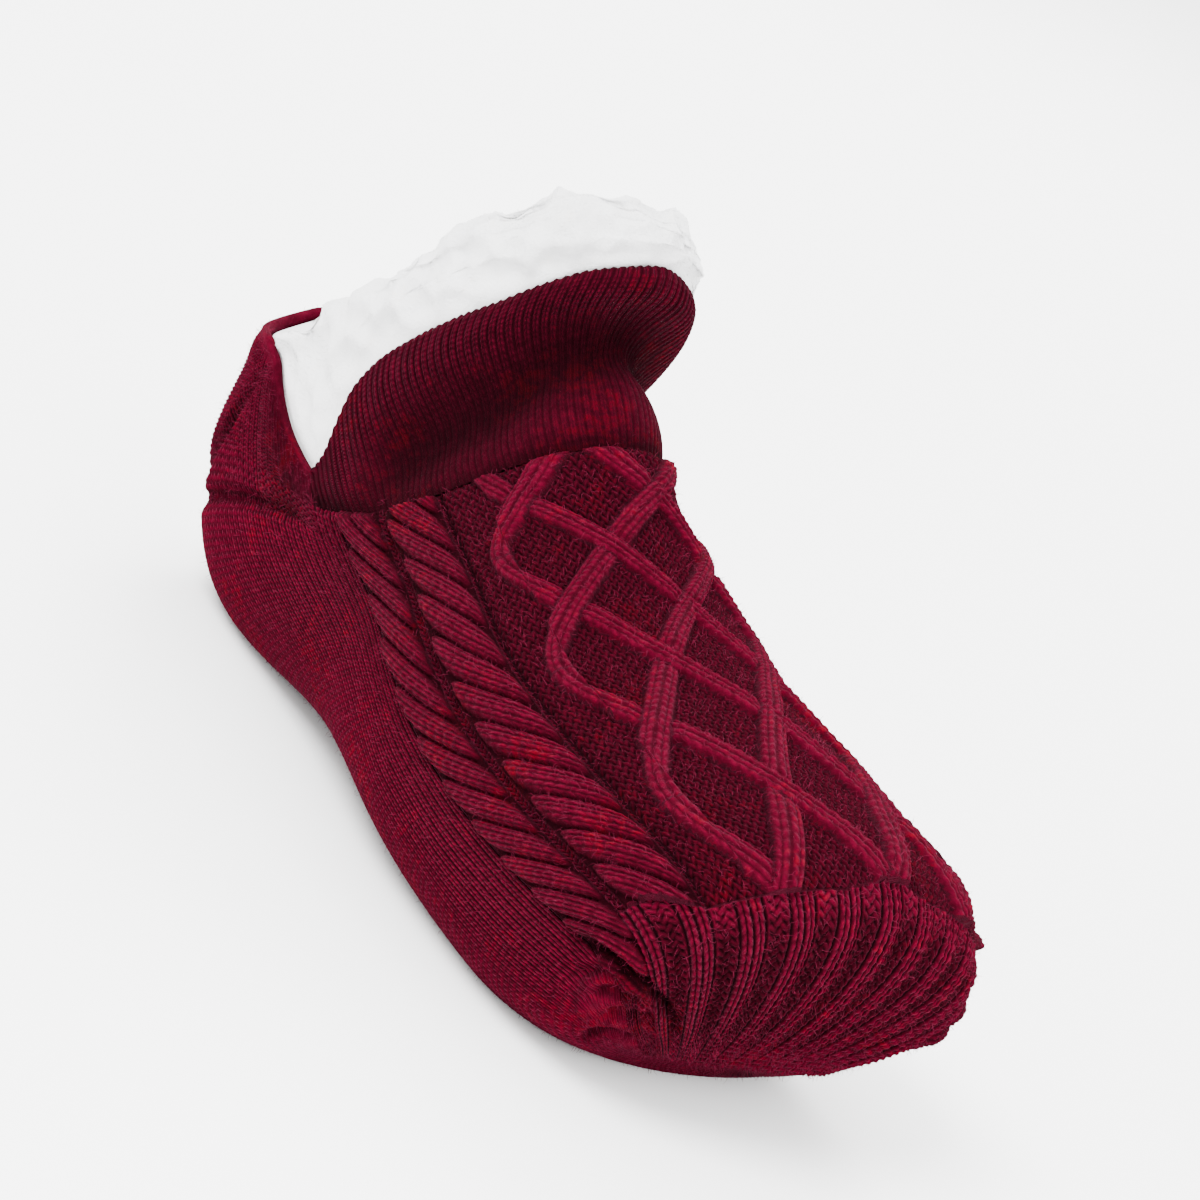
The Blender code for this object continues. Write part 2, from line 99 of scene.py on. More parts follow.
# Lattice: half a diamond in shares and in stations, and how many halves reach its edge
HALF_DIAMOND_AROUND = 0.0967
HALF_DIAMOND_ALONG = 0.0955
LATTICE_START = 0.165
LATTICE_HALVES = 3.0
CORNER_ROUND = 0.36
CORD_HALF = 0.0031
CORD_STITCH = 0.0022
CORD_RISE = 0.0022
GROUND_END = 0.311
GROUND_COURSES = 0.66
PANEL_SHADE = 0.8

# Cables: share at both sides of each, and the phase of its twist in turns
CABLES = ((0.318, 0.410, 0.0), (0.426, 0.499, 0.45))
TWIST = 0.0122
CABLE_SLANT = 0.86
CABLE_WALES = 3.0
CABLE_RISE = 0.0028
CABLE_STITCH = 0.0026
CABLE_START = 0.055
CABLE_FADE = 0.05
GUTTERS = (0.418, 0.311)
GUTTER_HALF = 0.011
GUTTER_DEPTH = 0.0009

# Toe ribs, and the plain corner beside the toe slit
WALES_PER_RIB = 6.0
RIB_WALES = 4.0
RIB_COURSES = 0.8
RIB_RISE = 0.0013
RIB_END = 0.424
RIB_BARS_FROM = 0.30
RIB_FADE = 0.040
RIB_TOE_FADE = 0.05
CORNER_SHARE = 0.452
CORNER_STATION = 0.115
LOOSE_SHARE = 0.68
LOOSE_STATION = 0.20

# Heel: the bars beside the notch, and the quiet edge
NOTCH_SHARE = 0.60
NOTCH_BARS_REACH = 0.085
NOTCH_BARS_DEPTH = 0.0003
QUIET_EDGE = 0.014

# Cuff: the fine rib, and the rolls below its edge as place, half height and rise or depth
CUFF_RIBS_PER_WALE = 1.25
CUFF_RIB_RISE = 0.00042
CUFF_SINK = 0.0006
EDGE_SCALLOP = 0.0016
LIP_PLACE, LIP_HALF, LIP_RISE = 0.0055, 0.0062, 0.0020
DIP_PLACE, DIP_HALF, DIP_DEPTH = 0.0170, 0.0062, 0.0030
SWELL_PLACE, SWELL_HALF, SWELL_RISE = 0.0285, 0.0060, 0.0008
CUFF_FOOT_HALF, CUFF_FOOT_DEPTH = 0.0030, 0.0008

# Soft waves of the whole knit, and how much painted shade a crease gets with its depth
UNDULATION = 0.0007
UNDULATION_SIZE = 0.022
CREASE_SHADE_DEPTH = 0.0028
CREASE_SHADE_MOST = 0.90
HEEL_CREASE_DEPTH = 0.0016
HEEL_CREASE_REACH = 0.012
FAR_TOE_CREASES = 0.15

# Fleece: the collar's lean, its curls, its fibres, the lining and the footbed
NEAR_FLEECE_RISE = 0.012
FAR_FLEECE_FALL = 0.024
FLEECE_AROUND = 760
FLEECE_STEPS = 120
CURL_EDGE = 9.0
BIG_CURL, BIG_CURL_RISE = 0.0125, 0.0042
SMALL_CURL, SMALL_CURL_RISE = 0.0058, 0.0030
WOOL_GRAIN, WOOL_GRAIN_RISE = 0.0016, 0.00012
FRONT_SWELL = 0.0008
PILE_COUNT, PILE_LENGTH, PILE_WIDTH, PILE_LEAN = 30000, 0.0013, 0.00016, 0.8
HAIR_LENGTH, HAIR_WIDTH, HAIR_LEAN = 0.0012, 0.00007, 1.1
UPPER_HAIRS = 14000
SOLE_HAIRS = 6000
LINING_CURL = 0.0060
LINING_START = 0.07
LINING_BELOW_EDGE = 0.012
LINING_DEPTH = 0.0068
LINING_CURL_RISE = 0.0016
FOOTBED_SHARE = 0.28
FOOTBED_START = 0.13
FOOTBED_END = 0.81
FOOTBED_DEPTH = 0.0074
FOOTBED_CURL_RISE = 0.0014

# Colours, as linear red, green and blue
YARN_BASE = (0.049, 0.0005, 0.0066)
YARN_BRIGHT = (0.090, 0.0014, 0.0128)
YARN_RED = (0.130, 0.0008, 0.0052)
# Painted shade between the stitches and in the knit's hollows:
YARN_PAINTED_SHADE = (0.0012, 0.00001, 0.0003)
# Loose hairs, painted lighter for the light caught in the fuzz:
YARN_HAIR_LIT = (0.120, 0.0080, 0.0280)
YARN_GLOW = (1.0, 0.16, 0.36)
FLEECE_LIGHT = (0.72, 0.72, 0.725)
# Painted shade between the fleece curls, and a random darker tone on some pile fibres:
FLEECE_SHADE_AND_TONE = (0.50, 0.50, 0.51)
FLEECE_WARM = (0.78, 0.70, 0.62)
FLOOR_PALE = (0.96, 0.96, 0.96)
YARN_BUMP = 0.00085
FLEECE_BUMP = 0.0006
YARN_SHEEN = 0.055

# Sections from the toe seam to above the collar, as in the solids
# station, top x / length, top z / collar height, bottom x / length, bottom z / collar height,
# half width / ball width
SECTIONS = (
    (0.00, 0.9350, 0.1020, 0.9115, 0.0810, 0.245),
    (0.05, 0.9696, 0.2275, 0.8942, 0.0510, 0.332),
    (0.10, 0.9942, 0.3569, 0.8813, 0.0251, 0.403),
    (0.16, 0.9833, 0.4745, 0.8646, 0.0016, 0.464),
    (0.26, 0.8729, 0.5290, 0.7896, -0.0353, 0.500),
    (0.38, 0.7517, 0.5410, 0.6688, -0.0471, 0.487),
    (0.50, 0.6538, 0.5647, 0.5154, -0.0157, 0.457),
    (0.62, 0.5825, 0.6157, 0.3625, 0.0190, 0.392),
    (0.72, 0.5317, 0.6750, 0.2167, -0.0080, 0.322),
    (0.80, 0.4892, 0.7294, 0.0875, 0.0080, 0.288),
    (0.90, 0.4108, 0.8533, 0.0021, 0.1960, 0.302),
    (1.00, 0.3875, 1.0000, 0.0333, 0.4353, 0.345),
    (1.10, 0.3800, 1.1500, 0.0680, 0.6700, 0.370),
)

# Lines round the collar, from the instep (0) over the side (0.5) to the back of the heel (1)
# share round, heel turn, cuff foot, knit edge, fleece top, lip flare / full flare
COLLAR_LINES = (
    (0.000, 0.7380, 0.806, 0.985, 1.052, 1.00),
    (0.100, 0.7380, 0.801, 0.968, 1.056, 0.90),
    (0.200, 0.7380, 0.791, 0.936, 1.050, 0.65),
    (0.330, 0.7380, 0.779, 0.912, 1.038, 0.35),
    (0.390, 0.7380, 0.777, 0.900, 1.034, 0.25),
    (0.440, 0.7380, 0.780, 0.882, 1.028, 0.15),
    (0.500, 0.7380, 0.795, 0.842, 1.014, 0.05),
    (0.540, 0.7800, 0.806, 0.829, 1.004, 0.00),
    (0.585, 0.8030, 0.826, 0.868, 0.992, 0.05),
    (0.640, 0.8200, 0.848, 0.934, 0.984, 0.20),
    (0.700, 0.8330, 0.868, 0.968, 0.988, 0.40),
    (0.770, 0.8430, 0.880, 0.990, 1.001, 0.45),
    (0.845, 0.8520, 0.890, 1.014, 1.023, 0.40),
    (0.920, 0.8600, 0.899, 1.040, 1.048, 0.35),
    (1.000, 0.8650, 0.905, 1.050, 1.058, 0.35),
)
HEEL_TURN, CUFF_FOOT, KNIT_EDGE, FLEECE_TOP, FLARE = 1, 2, 3, 4, 5

# Outline of the fleece, from under the knit edge up, over the top and down inside
FLEECE_SECTION = (
    (-1.00, 0.35), (-0.88, 0.00), (-0.45, 0.00), (0.00, 0.00), (0.20, -0.20), (0.48, -0.34),
    (0.78, -0.18), (0.95, 0.14), (1.00, 0.48), (0.94, 0.84), (0.62, 1.10), (0.10, 1.08),
    (-0.45, 1.00), (-0.88, 0.86),
)

# Creases: share and station of both ends, depth and half width
CREASES = (
    (0.497, 0.205, 0.452, 0.120, 0.0032, 0.0026),
    (0.462, 0.135, 0.375, 0.045, 0.0028, 0.0026),
    (0.430, 0.085, 0.570, 0.145, 0.0019, 0.0034),
    (0.455, 0.122, 0.560, 0.182, 0.0013, 0.0034),
    (0.420, 0.050, 0.575, 0.102, 0.0017, 0.0034),
    (0.470, 0.012, 0.710, 0.135, 0.0018, 0.0024),
    (0.710, 0.911, 0.880, 0.865, 0.0013, 0.0034),
    (0.790, 0.903, 0.950, 0.862, 0.0013, 0.0034),
    (0.660, 0.932, 0.810, 0.884, 0.0010, 0.0030),
)

# Camera: where it stands round the sock, its roll and its reach
CAMERA_AZIMUTH = 46.9
CAMERA_ELEVATION = 16.9
CAMERA_ROLL = 27.6
CAMERA_DISTANCE = 0.900
CAMERA_LENS = 130.0
CAMERA_TARGET = (0.006, 0.0, 0.062)

# Studio: name, place, size and power of each light
LIGHTS = (
    ("key_light", (0.15, -1.1, 1.5), 0.9, 88.0),
    ("fill_light", (1.5, -0.2, 0.8), 1.2, 34.0),
    ("back_light", (-1.0, 1.0, 1.2), 1.0, 46.0),
)
LIGHTS_AIM = (0.0, 0.0, 0.06)
WORLD_STRENGTH = 3.7
FLOOR_REACH = 12.0


def cubic(knots, values, at):
    """Natural cubic through the rows of a table."""
    count = len(knots)
    step = np.diff(knots)
    system = np.eye(count)
    right = np.zeros_like(values)
    for i in range(1, count - 1):
        system[i, i - 1] = step[i - 1]
        system[i, i] = 2.0 * (step[i - 1] + step[i])
        system[i, i + 1] = step[i]
        right[i] = 6.0 * ((values[i + 1] - values[i]) / step[i]
                          - (values[i] - values[i - 1]) / step[i - 1])
    bend = np.linalg.solve(system, right)
    i = np.clip(np.searchsorted(knots, at, side="right") - 1, 0, count - 2)
    h = step[i][..., None]
    a = (knots[i + 1] - at)[..., None]
    b = (at - knots[i])[..., None]
    return (bend[i] * a ** 3 / (6 * h) + bend[i + 1] * b ** 3 / (6 * h)
            + (values[i] / h - bend[i] * h / 6) * a + (values[i + 1] / h - bend[i + 1] * h / 6) * b)


def smooth(x):
    """Soft step from 0 to 1."""
    x = np.clip(x, 0.0, 1.0)
    return x * x * (3.0 - 2.0 * x)


def bump(x):
    """Soft hill, 1 at 0 and 0 from 1 on."""
    return smooth(1.0 - np.abs(x))


def bell(x):
    """Hill that fades out on both sides, 1 at 0."""
    return np.exp(-x ** 2)


def fraction(x):
    """Part of a number above its floor."""
    return x - np.floor(x)


def folded(turn):
    """Share round the half girth at a turn, the same on the near and the far side."""
    share = np.abs(turn)
    return np.where(share > 1.0, 2.0 - share, share)


def section_rows(station):
    """Top x, top z, bottom x, bottom z and half width of the sections, in metres."""
    table = np.array(SECTIONS)
    rows = table[:, 1:] * np.array([LENGTH, COLLAR_HEIGHT, LENGTH, COLLAR_HEIGHT, BALL_WIDTH])
    middle = (rows[0, 0:2] + rows[0, 2:4]) / 2.0
    toward = rows[0, 0:2] - rows[0, 2:4]
    toward = toward / np.linalg.norm(toward)
    rows[0, 0:2] = middle + toward * (KNIT_WALL + JOINT_GAP)
    rows[0, 2:4] = middle - toward * (SOLE_WALL + JOINT_GAP)
    return cubic(table[:, 0], rows, np.clip(station, 0.0, LAST_STATION))


def outlines(rows):
    """Half outline of each section as points from its top to its bottom, on the y < 0 side."""
    angles = np.linspace(0.0, math.pi, 91)
    top_x, top_z, low_x, low_z, half = [rows[:, k][:, None] for k in range(5)]
    cos = np.cos(angles)[None, :]
    sin = np.sin(angles)[None, :]
    power = np.where(cos > 0.0, 1.0, LOWER_POWER)
    share = (1.0 - np.sign(cos) * np.abs(cos) ** power) / 2.0
    return np.stack([top_x + (low_x - top_x) * share,
                     -half * np.abs(sin) ** power,
                     np.maximum(top_z + (low_z - top_z) * share, 0.0)], axis=2)


def line(column, share):
    """One of the collar lines at a share round, with soft corners."""
    table = np.array(COLLAR_LINES)
    total = 0.0
    for shift, weight in ((-1.0, 0.25), (0.0, 0.5), (1.0, 0.25)):
        place = np.abs(share + shift * CORNER_SOFTNESS)
        total = total + weight * np.interp(place, table[:, 0], table[:, column])
    return total


class Form:
    """The plain form as a fine table of points and outward directions over station and share."""

    def __init__(self):
        self.stations = np.linspace(0.0, 1.11, 371)
        self.shares = np.linspace(0.0, 1.0, 241)
        lines = outlines(section_rows(self.stations))
        leg = np.linalg.norm(np.diff(lines, axis=1), axis=2)
        total = np.concatenate([np.zeros((len(lines), 1)), np.cumsum(leg, axis=1)], axis=1)
        plain = np.zeros((len(self.stations), len(self.shares), 3))
        for k in range(len(self.stations)):
            for axis in range(3):
                plain[k, :, axis] = np.interp(self.shares * total[k, -1], total[k],
                                              lines[k, :, axis])
        along = np.gradient(plain, self.stations, axis=0)
        wide = np.concatenate([plain[:, 1:2], plain, plain[:, -2:-1]], axis=1)
        wide[:, 0, 1] *= -1.0
        wide[:, -1, 1] *= -1.0
        around = wide[:, 2:] - wide[:, :-2]
        out = np.cross(along, around)
        out /= np.maximum(np.linalg.norm(out, axis=2), 1e-12)[:, :, None]
        self.rate = np.linalg.norm(along, axis=2)
        station = self.stations[:, None]
        share = np.broadcast_to(self.shares[None, :], self.rate.shape)
        below = (line(KNIT_EDGE, share) - station) * self.rate
        lip = LIP_FLARE * line(FLARE, share) * bell(np.maximum(below, 0.0) / LIP_REACH)
        fade_from, fade_to = TROUGH_FADE
        front = 1.0 - smooth((share - fade_from) / (fade_to - fade_from))
        place = (below - TROUGH_BELOW_LIP * LIP_REACH) / TROUGH_REACH
        trough = TROUGH_DEPTH * front * bell(place)
        self.points = plain + out * (lip - trough)[:, :, None]
        heel_x = self.points[:, :, 0][self.stations < 1.0].min()
        toe_x = self.points[:, :, 0].max()
        self.points[:, :, 0] -= 0.5 * (heel_x + toe_x)
        self.out = out

    def read(self, table, station, turn):
        """A table's value at a station and a turn (0 instep, 1 heel, over 1 the far side)."""
        share = folded(turn)
        i = np.clip(station / self.stations[1], 0.0, len(self.stations) - 1.001)
        j = np.clip(share / self.shares[1], 0.0, len(self.shares) - 1.001)
        i0, j0 = i.astype(int), j.astype(int)
        a, b = i - i0, j - j0
        if table.ndim == 3:
            a, b = a[..., None], b[..., None]
        return ((table[i0, j0] * (1 - a) + table[i0 + 1, j0] * a) * (1 - b)
                + (table[i0, j0 + 1] * (1 - a) + table[i0 + 1, j0 + 1] * a) * b)

    def at(self, station, turn, height=0.0):
        """Points at a height over the form."""
        point = self.read(self.points, station, turn)
        out = self.read(self.out, station, turn)
        out = out / np.maximum(np.linalg.norm(out, axis=-1), 1e-9)[..., None]
        place = point + out * np.asarray(height)[..., None]
        far = (turn < 0.0) | (turn > 1.0)
        place[..., 1] *= np.where(far, -1.0, 1.0)
        return place

    def course_stations(self, share, start, end, rows_per_course):
        """Stations a row apart along the form at one share, and the rows' numbers in courses."""
        j = int(round(share / self.shares[1]))
        leg = np.linalg.norm(np.diff(self.points[:, j], axis=0), axis=1)
        run = np.concatenate([[0.0], np.cumsum(leg)])
        low, high = np.interp([start, end], self.stations, run)
        count = max(2, int(round((high - low) / COURSE * rows_per_course)))
        places = np.interp(np.linspace(low, high, count + 1), run, self.stations)
        return places, np.arange(count + 1) / rows_per_course


def scattered(corner, salt=0):
    """Whole number from 0 to 65535 for each corner of a grid, as if drawn by chance."""
    mixed = ((corner[..., 0] * 73856093) ^ (corner[..., 1] * 19349663)
             ^ (corner[..., 2] * 83492791) ^ salt)
    mixed = (mixed ^ (mixed >> 13)) * 1274126177
    return (mixed ^ (mixed >> 16)) & 65535


def noise(points, size, seed):
    """Smooth noise from -1 to 1 over points, one lump per size."""
    place = points / size + seed * 17.3
    cell = np.floor(place).astype(np.int64)
    part = smooth(place - cell)
    total = 0.0
    for step in np.ndindex(2, 2, 2):
        value = scattered(cell + np.array(step)) / 32767.5 - 1.0
        weight = 1.0
        for axis in range(3):
            weight = weight * (part[..., axis] if step[axis] else 1 - part[..., axis])
        total = total + weight * value
    return total


def curls(points, size, seed):
    """Round lumps: 1 at the middle of each curl and 0 between them."""
    place = points / size + seed * 9.7
    cell = np.floor(place).astype(np.int64)
    total = np.zeros(points.shape[:-1])
    for step in np.ndindex(3, 3, 3):
        corner = cell + np.array(step) - 1
        away = 0.0
        for axis in range(3):
            spot = corner[..., axis] + scattered(corner, axis * 2654435761 + seed * 97) / 65536.0
            away = away + (place[..., axis] - spot) ** 2
        total = total + np.exp(-CURL_EDGE * away)
    return np.clip(1.0 + np.log(total) / CURL_EDGE * 1.15, 0.0, 1.0)


def add_object(name, data):
    """Object of a mesh, a light or a camera in the scene."""
    made = bpy.data.objects.new(name, data)
    bpy.context.scene.collection.objects.link(made)
    return made


def add_mesh(name, points, quads, values, pairs=None):
    """Smooth mesh object from arrays, with named values and pairs of values at its points."""
    mesh = bpy.data.meshes.new(name)
    mesh.vertices.add(len(points))
    mesh.vertices.foreach_set("co", np.asarray(points, np.float32).ravel())
    quads = np.asarray(quads, np.int32)
    size = quads.shape[1]
    mesh.loops.add(quads.size)
    mesh.loops.foreach_set("vertex_index", quads.ravel())
    mesh.polygons.add(len(quads))
    mesh.polygons.foreach_set("loop_start", np.arange(len(quads), dtype=np.int32) * size)
    mesh.polygons.foreach_set("loop_total", np.full(len(quads), size, np.int32))
    mesh.polygons.foreach_set("use_smooth", np.ones(len(quads), bool))
    mesh.update(calc_edges=True)
    for key, value in values.items():
        layer = mesh.attributes.new(key, "FLOAT", "POINT")
        layer.data.foreach_set("value", np.asarray(value, np.float32).ravel())
    for key, value in (pairs or {}).items():
        layer = mesh.attributes.new(key, "FLOAT2", "POINT")
        layer.data.foreach_set("vector", np.asarray(value, np.float32).ravel())
    return add_object(name, mesh)


def grid_quads(rows, columns, keep=None):
    """Faces of a grid of points, facing out where rows go up the leg and columns go round."""
    index = np.arange(rows * columns).reshape(rows, columns)
    quads = np.stack([index[:-1, :-1], index[1:, :-1], index[1:, 1:], index[:-1, 1:]], axis=-1)
    if keep is not None:
        quads = quads[keep]
    return quads.reshape(-1, 4)


def plain_stitch(u, v):
    """Height of plain knit: two leaning legs in each wale."""
    a = np.abs(fraction(u) - 0.5) * 2.0
    leg = np.sin(math.pi * np.minimum(a / LEG_REACH, 1.0)) + 0.40 * (1.0 - a) ** 2
    bead = 0.5 + 0.5 * np.cos(2.0 * math.pi * (v + LEG_SLANT * a))
    return leg * (0.50 + 0.50 * bead)


def purl_stitch(u, v):
    """Height of the back of plain knit: short bars that lie like bricks, with holes between."""
    lean = v + BAR_WAVE * np.sin(2.0 * math.pi * u)
    first = (0.5 + 0.5 * np.cos(2.0 * math.pi * u)) * (0.5 + 0.5 * np.cos(2.0 * math.pi * lean))
    second = (0.5 - 0.5 * np.cos(2.0 * math.pi * u)) * (0.5 - 0.5 * np.cos(2.0 * math.pi * lean))
    return np.maximum(first, second) ** BAR_POWER


class Knit:
    """What a stretch of knit holds at each point: height, stitch place, painted shade and kind."""

    def __init__(self, u, v):
        self.height = np.zeros_like(u)
        self.u = u.copy()
        self.v = v.copy()
        self.purl = np.zeros_like(u)
        self.shade = np.ones_like(u)
        self.clean = np.ones_like(u)

    def lay(self, mask, u, v, purl=0.0):
        """Lay stitches of one kind in another direction where the mask holds."""
        self.u = np.where(mask, u, self.u)
        self.v = np.where(mask, v, self.v)
        self.purl = np.where(mask, purl, self.purl)


def lattice(knit, station, share):
    """Cords that cross in diamonds over reverse knit, and turn softly at the panel's edge."""
    wide = HALF_DIAMOND_AROUND * HALF_GIRTH
    tall = HALF_DIAMOND_ALONG * FOOT_LENGTH
    slant = 1.0 / math.hypot(1.0 / wide, 1.0 / tall)
    around = share / HALF_DIAMOND_AROUND
    along = (station - LATTICE_START) / HALF_DIAMOND_ALONG
    edge = LATTICE_HALVES
    from_node = along - edge - 2.0 * np.round((along - edge) / 2.0)
    bend = CORNER_ROUND * smooth((around - edge + 0.9) / 0.4)
    softened = np.sqrt(from_node ** 2 + bend ** 2)
    lean = from_node / np.maximum(softened, 1e-6)
    edge_gap = (around - edge + softened) / np.sqrt(1.0 / wide ** 2 + (lean / tall) ** 2)
    at_edge = around > edge - 0.5
    gaps = []
    for slope in (1.0, -1.0):
        total = (around + slope * along) / 2.0
        plain_gap = 2.0 * slant * (total - np.round(total))
        turned_gap = np.where(from_node * slope >= 0.0, edge_gap, 1.0)
        gaps.append(np.where(at_edge, turned_gap, plain_gap))
    over = np.cos(math.pi * np.round(around))
    zone = smooth((edge + 0.24 - around) / 0.10)
    zone = zone * smooth((station - LATTICE_START + 0.012) / 0.014)
    best = np.zeros_like(share)
    for number, slope in ((0, 1.0), (1, -1.0)):
        across = gaps[number]
        other = gaps[1 - number]
        mine_over = over * slope > 0.0
        body = np.clip(1.0 - (across / CORD_HALF) ** 2, 0.0, 1.0) ** 0.40
        beside = smooth(1.0 - (np.abs(other) - 0.2 * CORD_HALF) / (1.5 * CORD_HALF))
        level = body * np.where(mine_over, 1.0 + 0.10 * beside, 1.0 - 0.65 * beside) * zone
        run = (around * wide * wide - slope * along * tall * tall) / math.hypot(wide, tall)
        mask = (level > best) & (np.abs(across) < CORD_HALF)
        knit.lay(mask, across / CORD_HALF + 1.0, run / CORD_STITCH)
        knit.clean = np.where(mask, 0.62 * np.clip(body * 2.0 - 0.2, 0.0, 1.0) * zone, knit.clean)
        best = np.maximum(best, level)
    return best


def lay_lattice(knit, station, share, ribbed):
    """Reverse knit from the middle to the first gutter, with the cords over it."""
    ground = (share < GROUND_END) & ~ribbed
    knit.lay(ground, knit.u, knit.v * GROUND_COURSES, 1.0)
    cord = lattice(knit, station, share)
    knit.height = CORD_RISE * cord
    # Painted shade on the reverse-knit ground between the cords
    knit.shade = np.where(ground, 0.33 + 0.50 * np.clip(cord * 1.3, 0.0, 1.0), PANEL_SHADE)


def lay_cable(knit, station, share, course, low, high, shift):
    """Rope of two strands between two shares, which fades out toward the toe."""
    half = 0.5 * (high - low)
    x = np.clip((share - 0.5 * (low + high)) / half, -1.3, 1.3)
    inside = np.abs(x) < 1.0
    strand = fraction(course * COURSE / TWIST - CABLE_SLANT * x + shift) - 0.5
    level = np.clip(1.0 - np.abs(2.0 * strand) ** 2.4 - np.abs(x) ** 4, 0.0, 1.0) ** 0.5
    along = course * COURSE * 0.9 + x * half * HALF_GIRTH * 0.6
    knit.lay(inside, strand * CABLE_WALES + 0.5, along / CABLE_STITCH)
    knit.clean = np.where(inside, 0.75 * np.clip(level * 1.6 - 0.2, 0.0, 1.0), knit.clean)
    fade = smooth((station - CABLE_START) / CABLE_FADE)
    knit.height = knit.height + np.where(inside, CABLE_RISE * level * fade, 0.0)
    # Painted shade in the gaps between the strands
    shade_tone = 0.02 + 0.84 * np.clip(level * 1.25 - 0.05, 0.0, 1.0)
    knit.shade = np.where(inside, shade_tone * fade + PANEL_SHADE * (1.0 - fade), knit.shade)


def lay_gutters(knit, share):
    """Purl troughs on both sides of the first cable, darkened with painted shade."""
    gutter = np.zeros_like(share)
    for place in GUTTERS:
        gutter = np.maximum(gutter, bump((share - place) / GUTTER_HALF))
    knit.height = knit.height - GUTTER_DEPTH * gutter
    knit.shade = knit.shade * (1.0 - 0.72 * gutter)
    knit.purl = np.where(gutter > 0.3, 1.0, knit.purl)
    knit.clean = np.where(gutter > 0.3, 1.0, knit.clean)


def lay_ribs(knit, station, turn, v, ribs_from, ribbed):
    """Ribs of a few plain wales with purl between them, flat at both their ends."""
    period = WALES_PER_RIB / WALES
    across = np.abs(fraction(np.abs(turn) / period + 0.5) - 0.5)
    rib = 0.5 + 0.5 * np.cos(2.0 * math.pi * np.clip(across * 1.04, 0.0, 0.5))
    bars = (across > RIB_BARS_FROM).astype(float)
    knit.lay(ribbed, turn / period * RIB_WALES, v * RIB_COURSES, bars)
    knit.clean = np.where(ribbed, 1.0, knit.clean)
    full = smooth((ribs_from - station) / RIB_FADE) * smooth(station / RIB_TOE_FADE)
    knit.height = np.where(ribbed, RIB_RISE * rib * full, knit.height)
    # Painted shade in the purl between the ribs
    shade_tone = np.maximum(np.clip(rib * 1.4 - 0.10, 0.0, 1.0), 1.0 - full)
    knit.shade = np.where(ribbed, 0.22 + 0.78 * shade_tone, knit.shade)


def lay_corner(knit, station, share, u, v):
    """Plain flat knit where the instep meets the sole beside the toe slit."""
    corner = smooth((share - CORNER_SHARE) / 0.02) * smooth((CORNER_STATION - station) / 0.04)
    knit.lay(corner > 0.5, u, v)
    knit.clean = knit.clean * (1.0 - corner) + corner
    knit.height = knit.height * (1.0 - corner)
    # A flat painted shade over the corner
    knit.shade = knit.shade * (1.0 - corner) + 0.85 * corner


def past_cuff_foot(station, share):
    """Soft step from 0 to 1 across the line where the cuff begins."""
    return smooth((station - line(CUFF_FOOT, share) + 0.5 * TUCK_STATIONS) / TUCK_STATIONS)


def instep_knit(station, turn, u, v):
    """Lattice, two cables each side and toe ribs, tucked under the cuff at the top."""
    share = np.abs(turn)
    knit = Knit(u, v)
    ribs_from = LATTICE_START + 0.028 * smooth((share - 0.30) / 0.09) + 0.010 * bump(share / 0.10)
    ribbed = (station < ribs_from) & (share < RIB_END)
    lay_lattice(knit, station, share, ribbed)
    for low, high, shift in CABLES:
        lay_cable(knit, station, share, v, low, high, shift)
    lay_gutters(knit, share)
    lay_ribs(knit, station, turn, v, ribs_from, ribbed)
    lay_corner(knit, station, share, u, v)
    tucked = past_cuff_foot(station, share)
    knit.height = knit.height * (1.0 - tucked) - TUCK_DEPTH * tucked
    # Painted shade where the instep runs on under the cuff
    knit.shade = knit.shade * (1.0 - 0.75 * tucked)
    return knit


def sole_knit(station, turn, u, v):
    """Plain knit with straight wales, looser beside the toe slit."""
    knit = Knit(u, v)
    loose = smooth((LOOSE_SHARE - folded(turn)) / 0.12) * smooth((LOOSE_STATION - station) / 0.08)
    knit.lay(loose > 0.5, u, v * 0.5)
    knit.clean = 1.0 - 0.6 * loose
    return knit


def heel_knit(station, turn, u, v):
    """Purl bars beside the notch and plain knit round the heel, tucked under sole and cuff."""
    share = folded(turn)
    knit = Knit(u, v)
    bars = bump((share - NOTCH_SHARE) / NOTCH_BARS_REACH)
    at_edge = 1.0 - smooth((line(KNIT_EDGE, share) - station) / QUIET_EDGE)
    under_sole = smooth((line(HEEL_TURN, share) - station) / (0.8 * TUCK_STATIONS))
    under_cuff = smooth((CUFF_END + 0.002 - share) / 0.006) * past_cuff_foot(station, share)
    knit.purl = ((bars > 0.25) & (at_edge < 0.5)).astype(float)
    knit.height = -NOTCH_BARS_DEPTH * bars - TUCK_DEPTH * np.maximum(0.7 * under_sole, under_cuff)
    # Painted shade on the sunk bars and along the knit edge
    knit.shade = 0.88 * (1.0 - 0.50 * bars) * (1.0 - 0.30 * at_edge)
    knit.clean = 1.0 - at_edge
    return knit


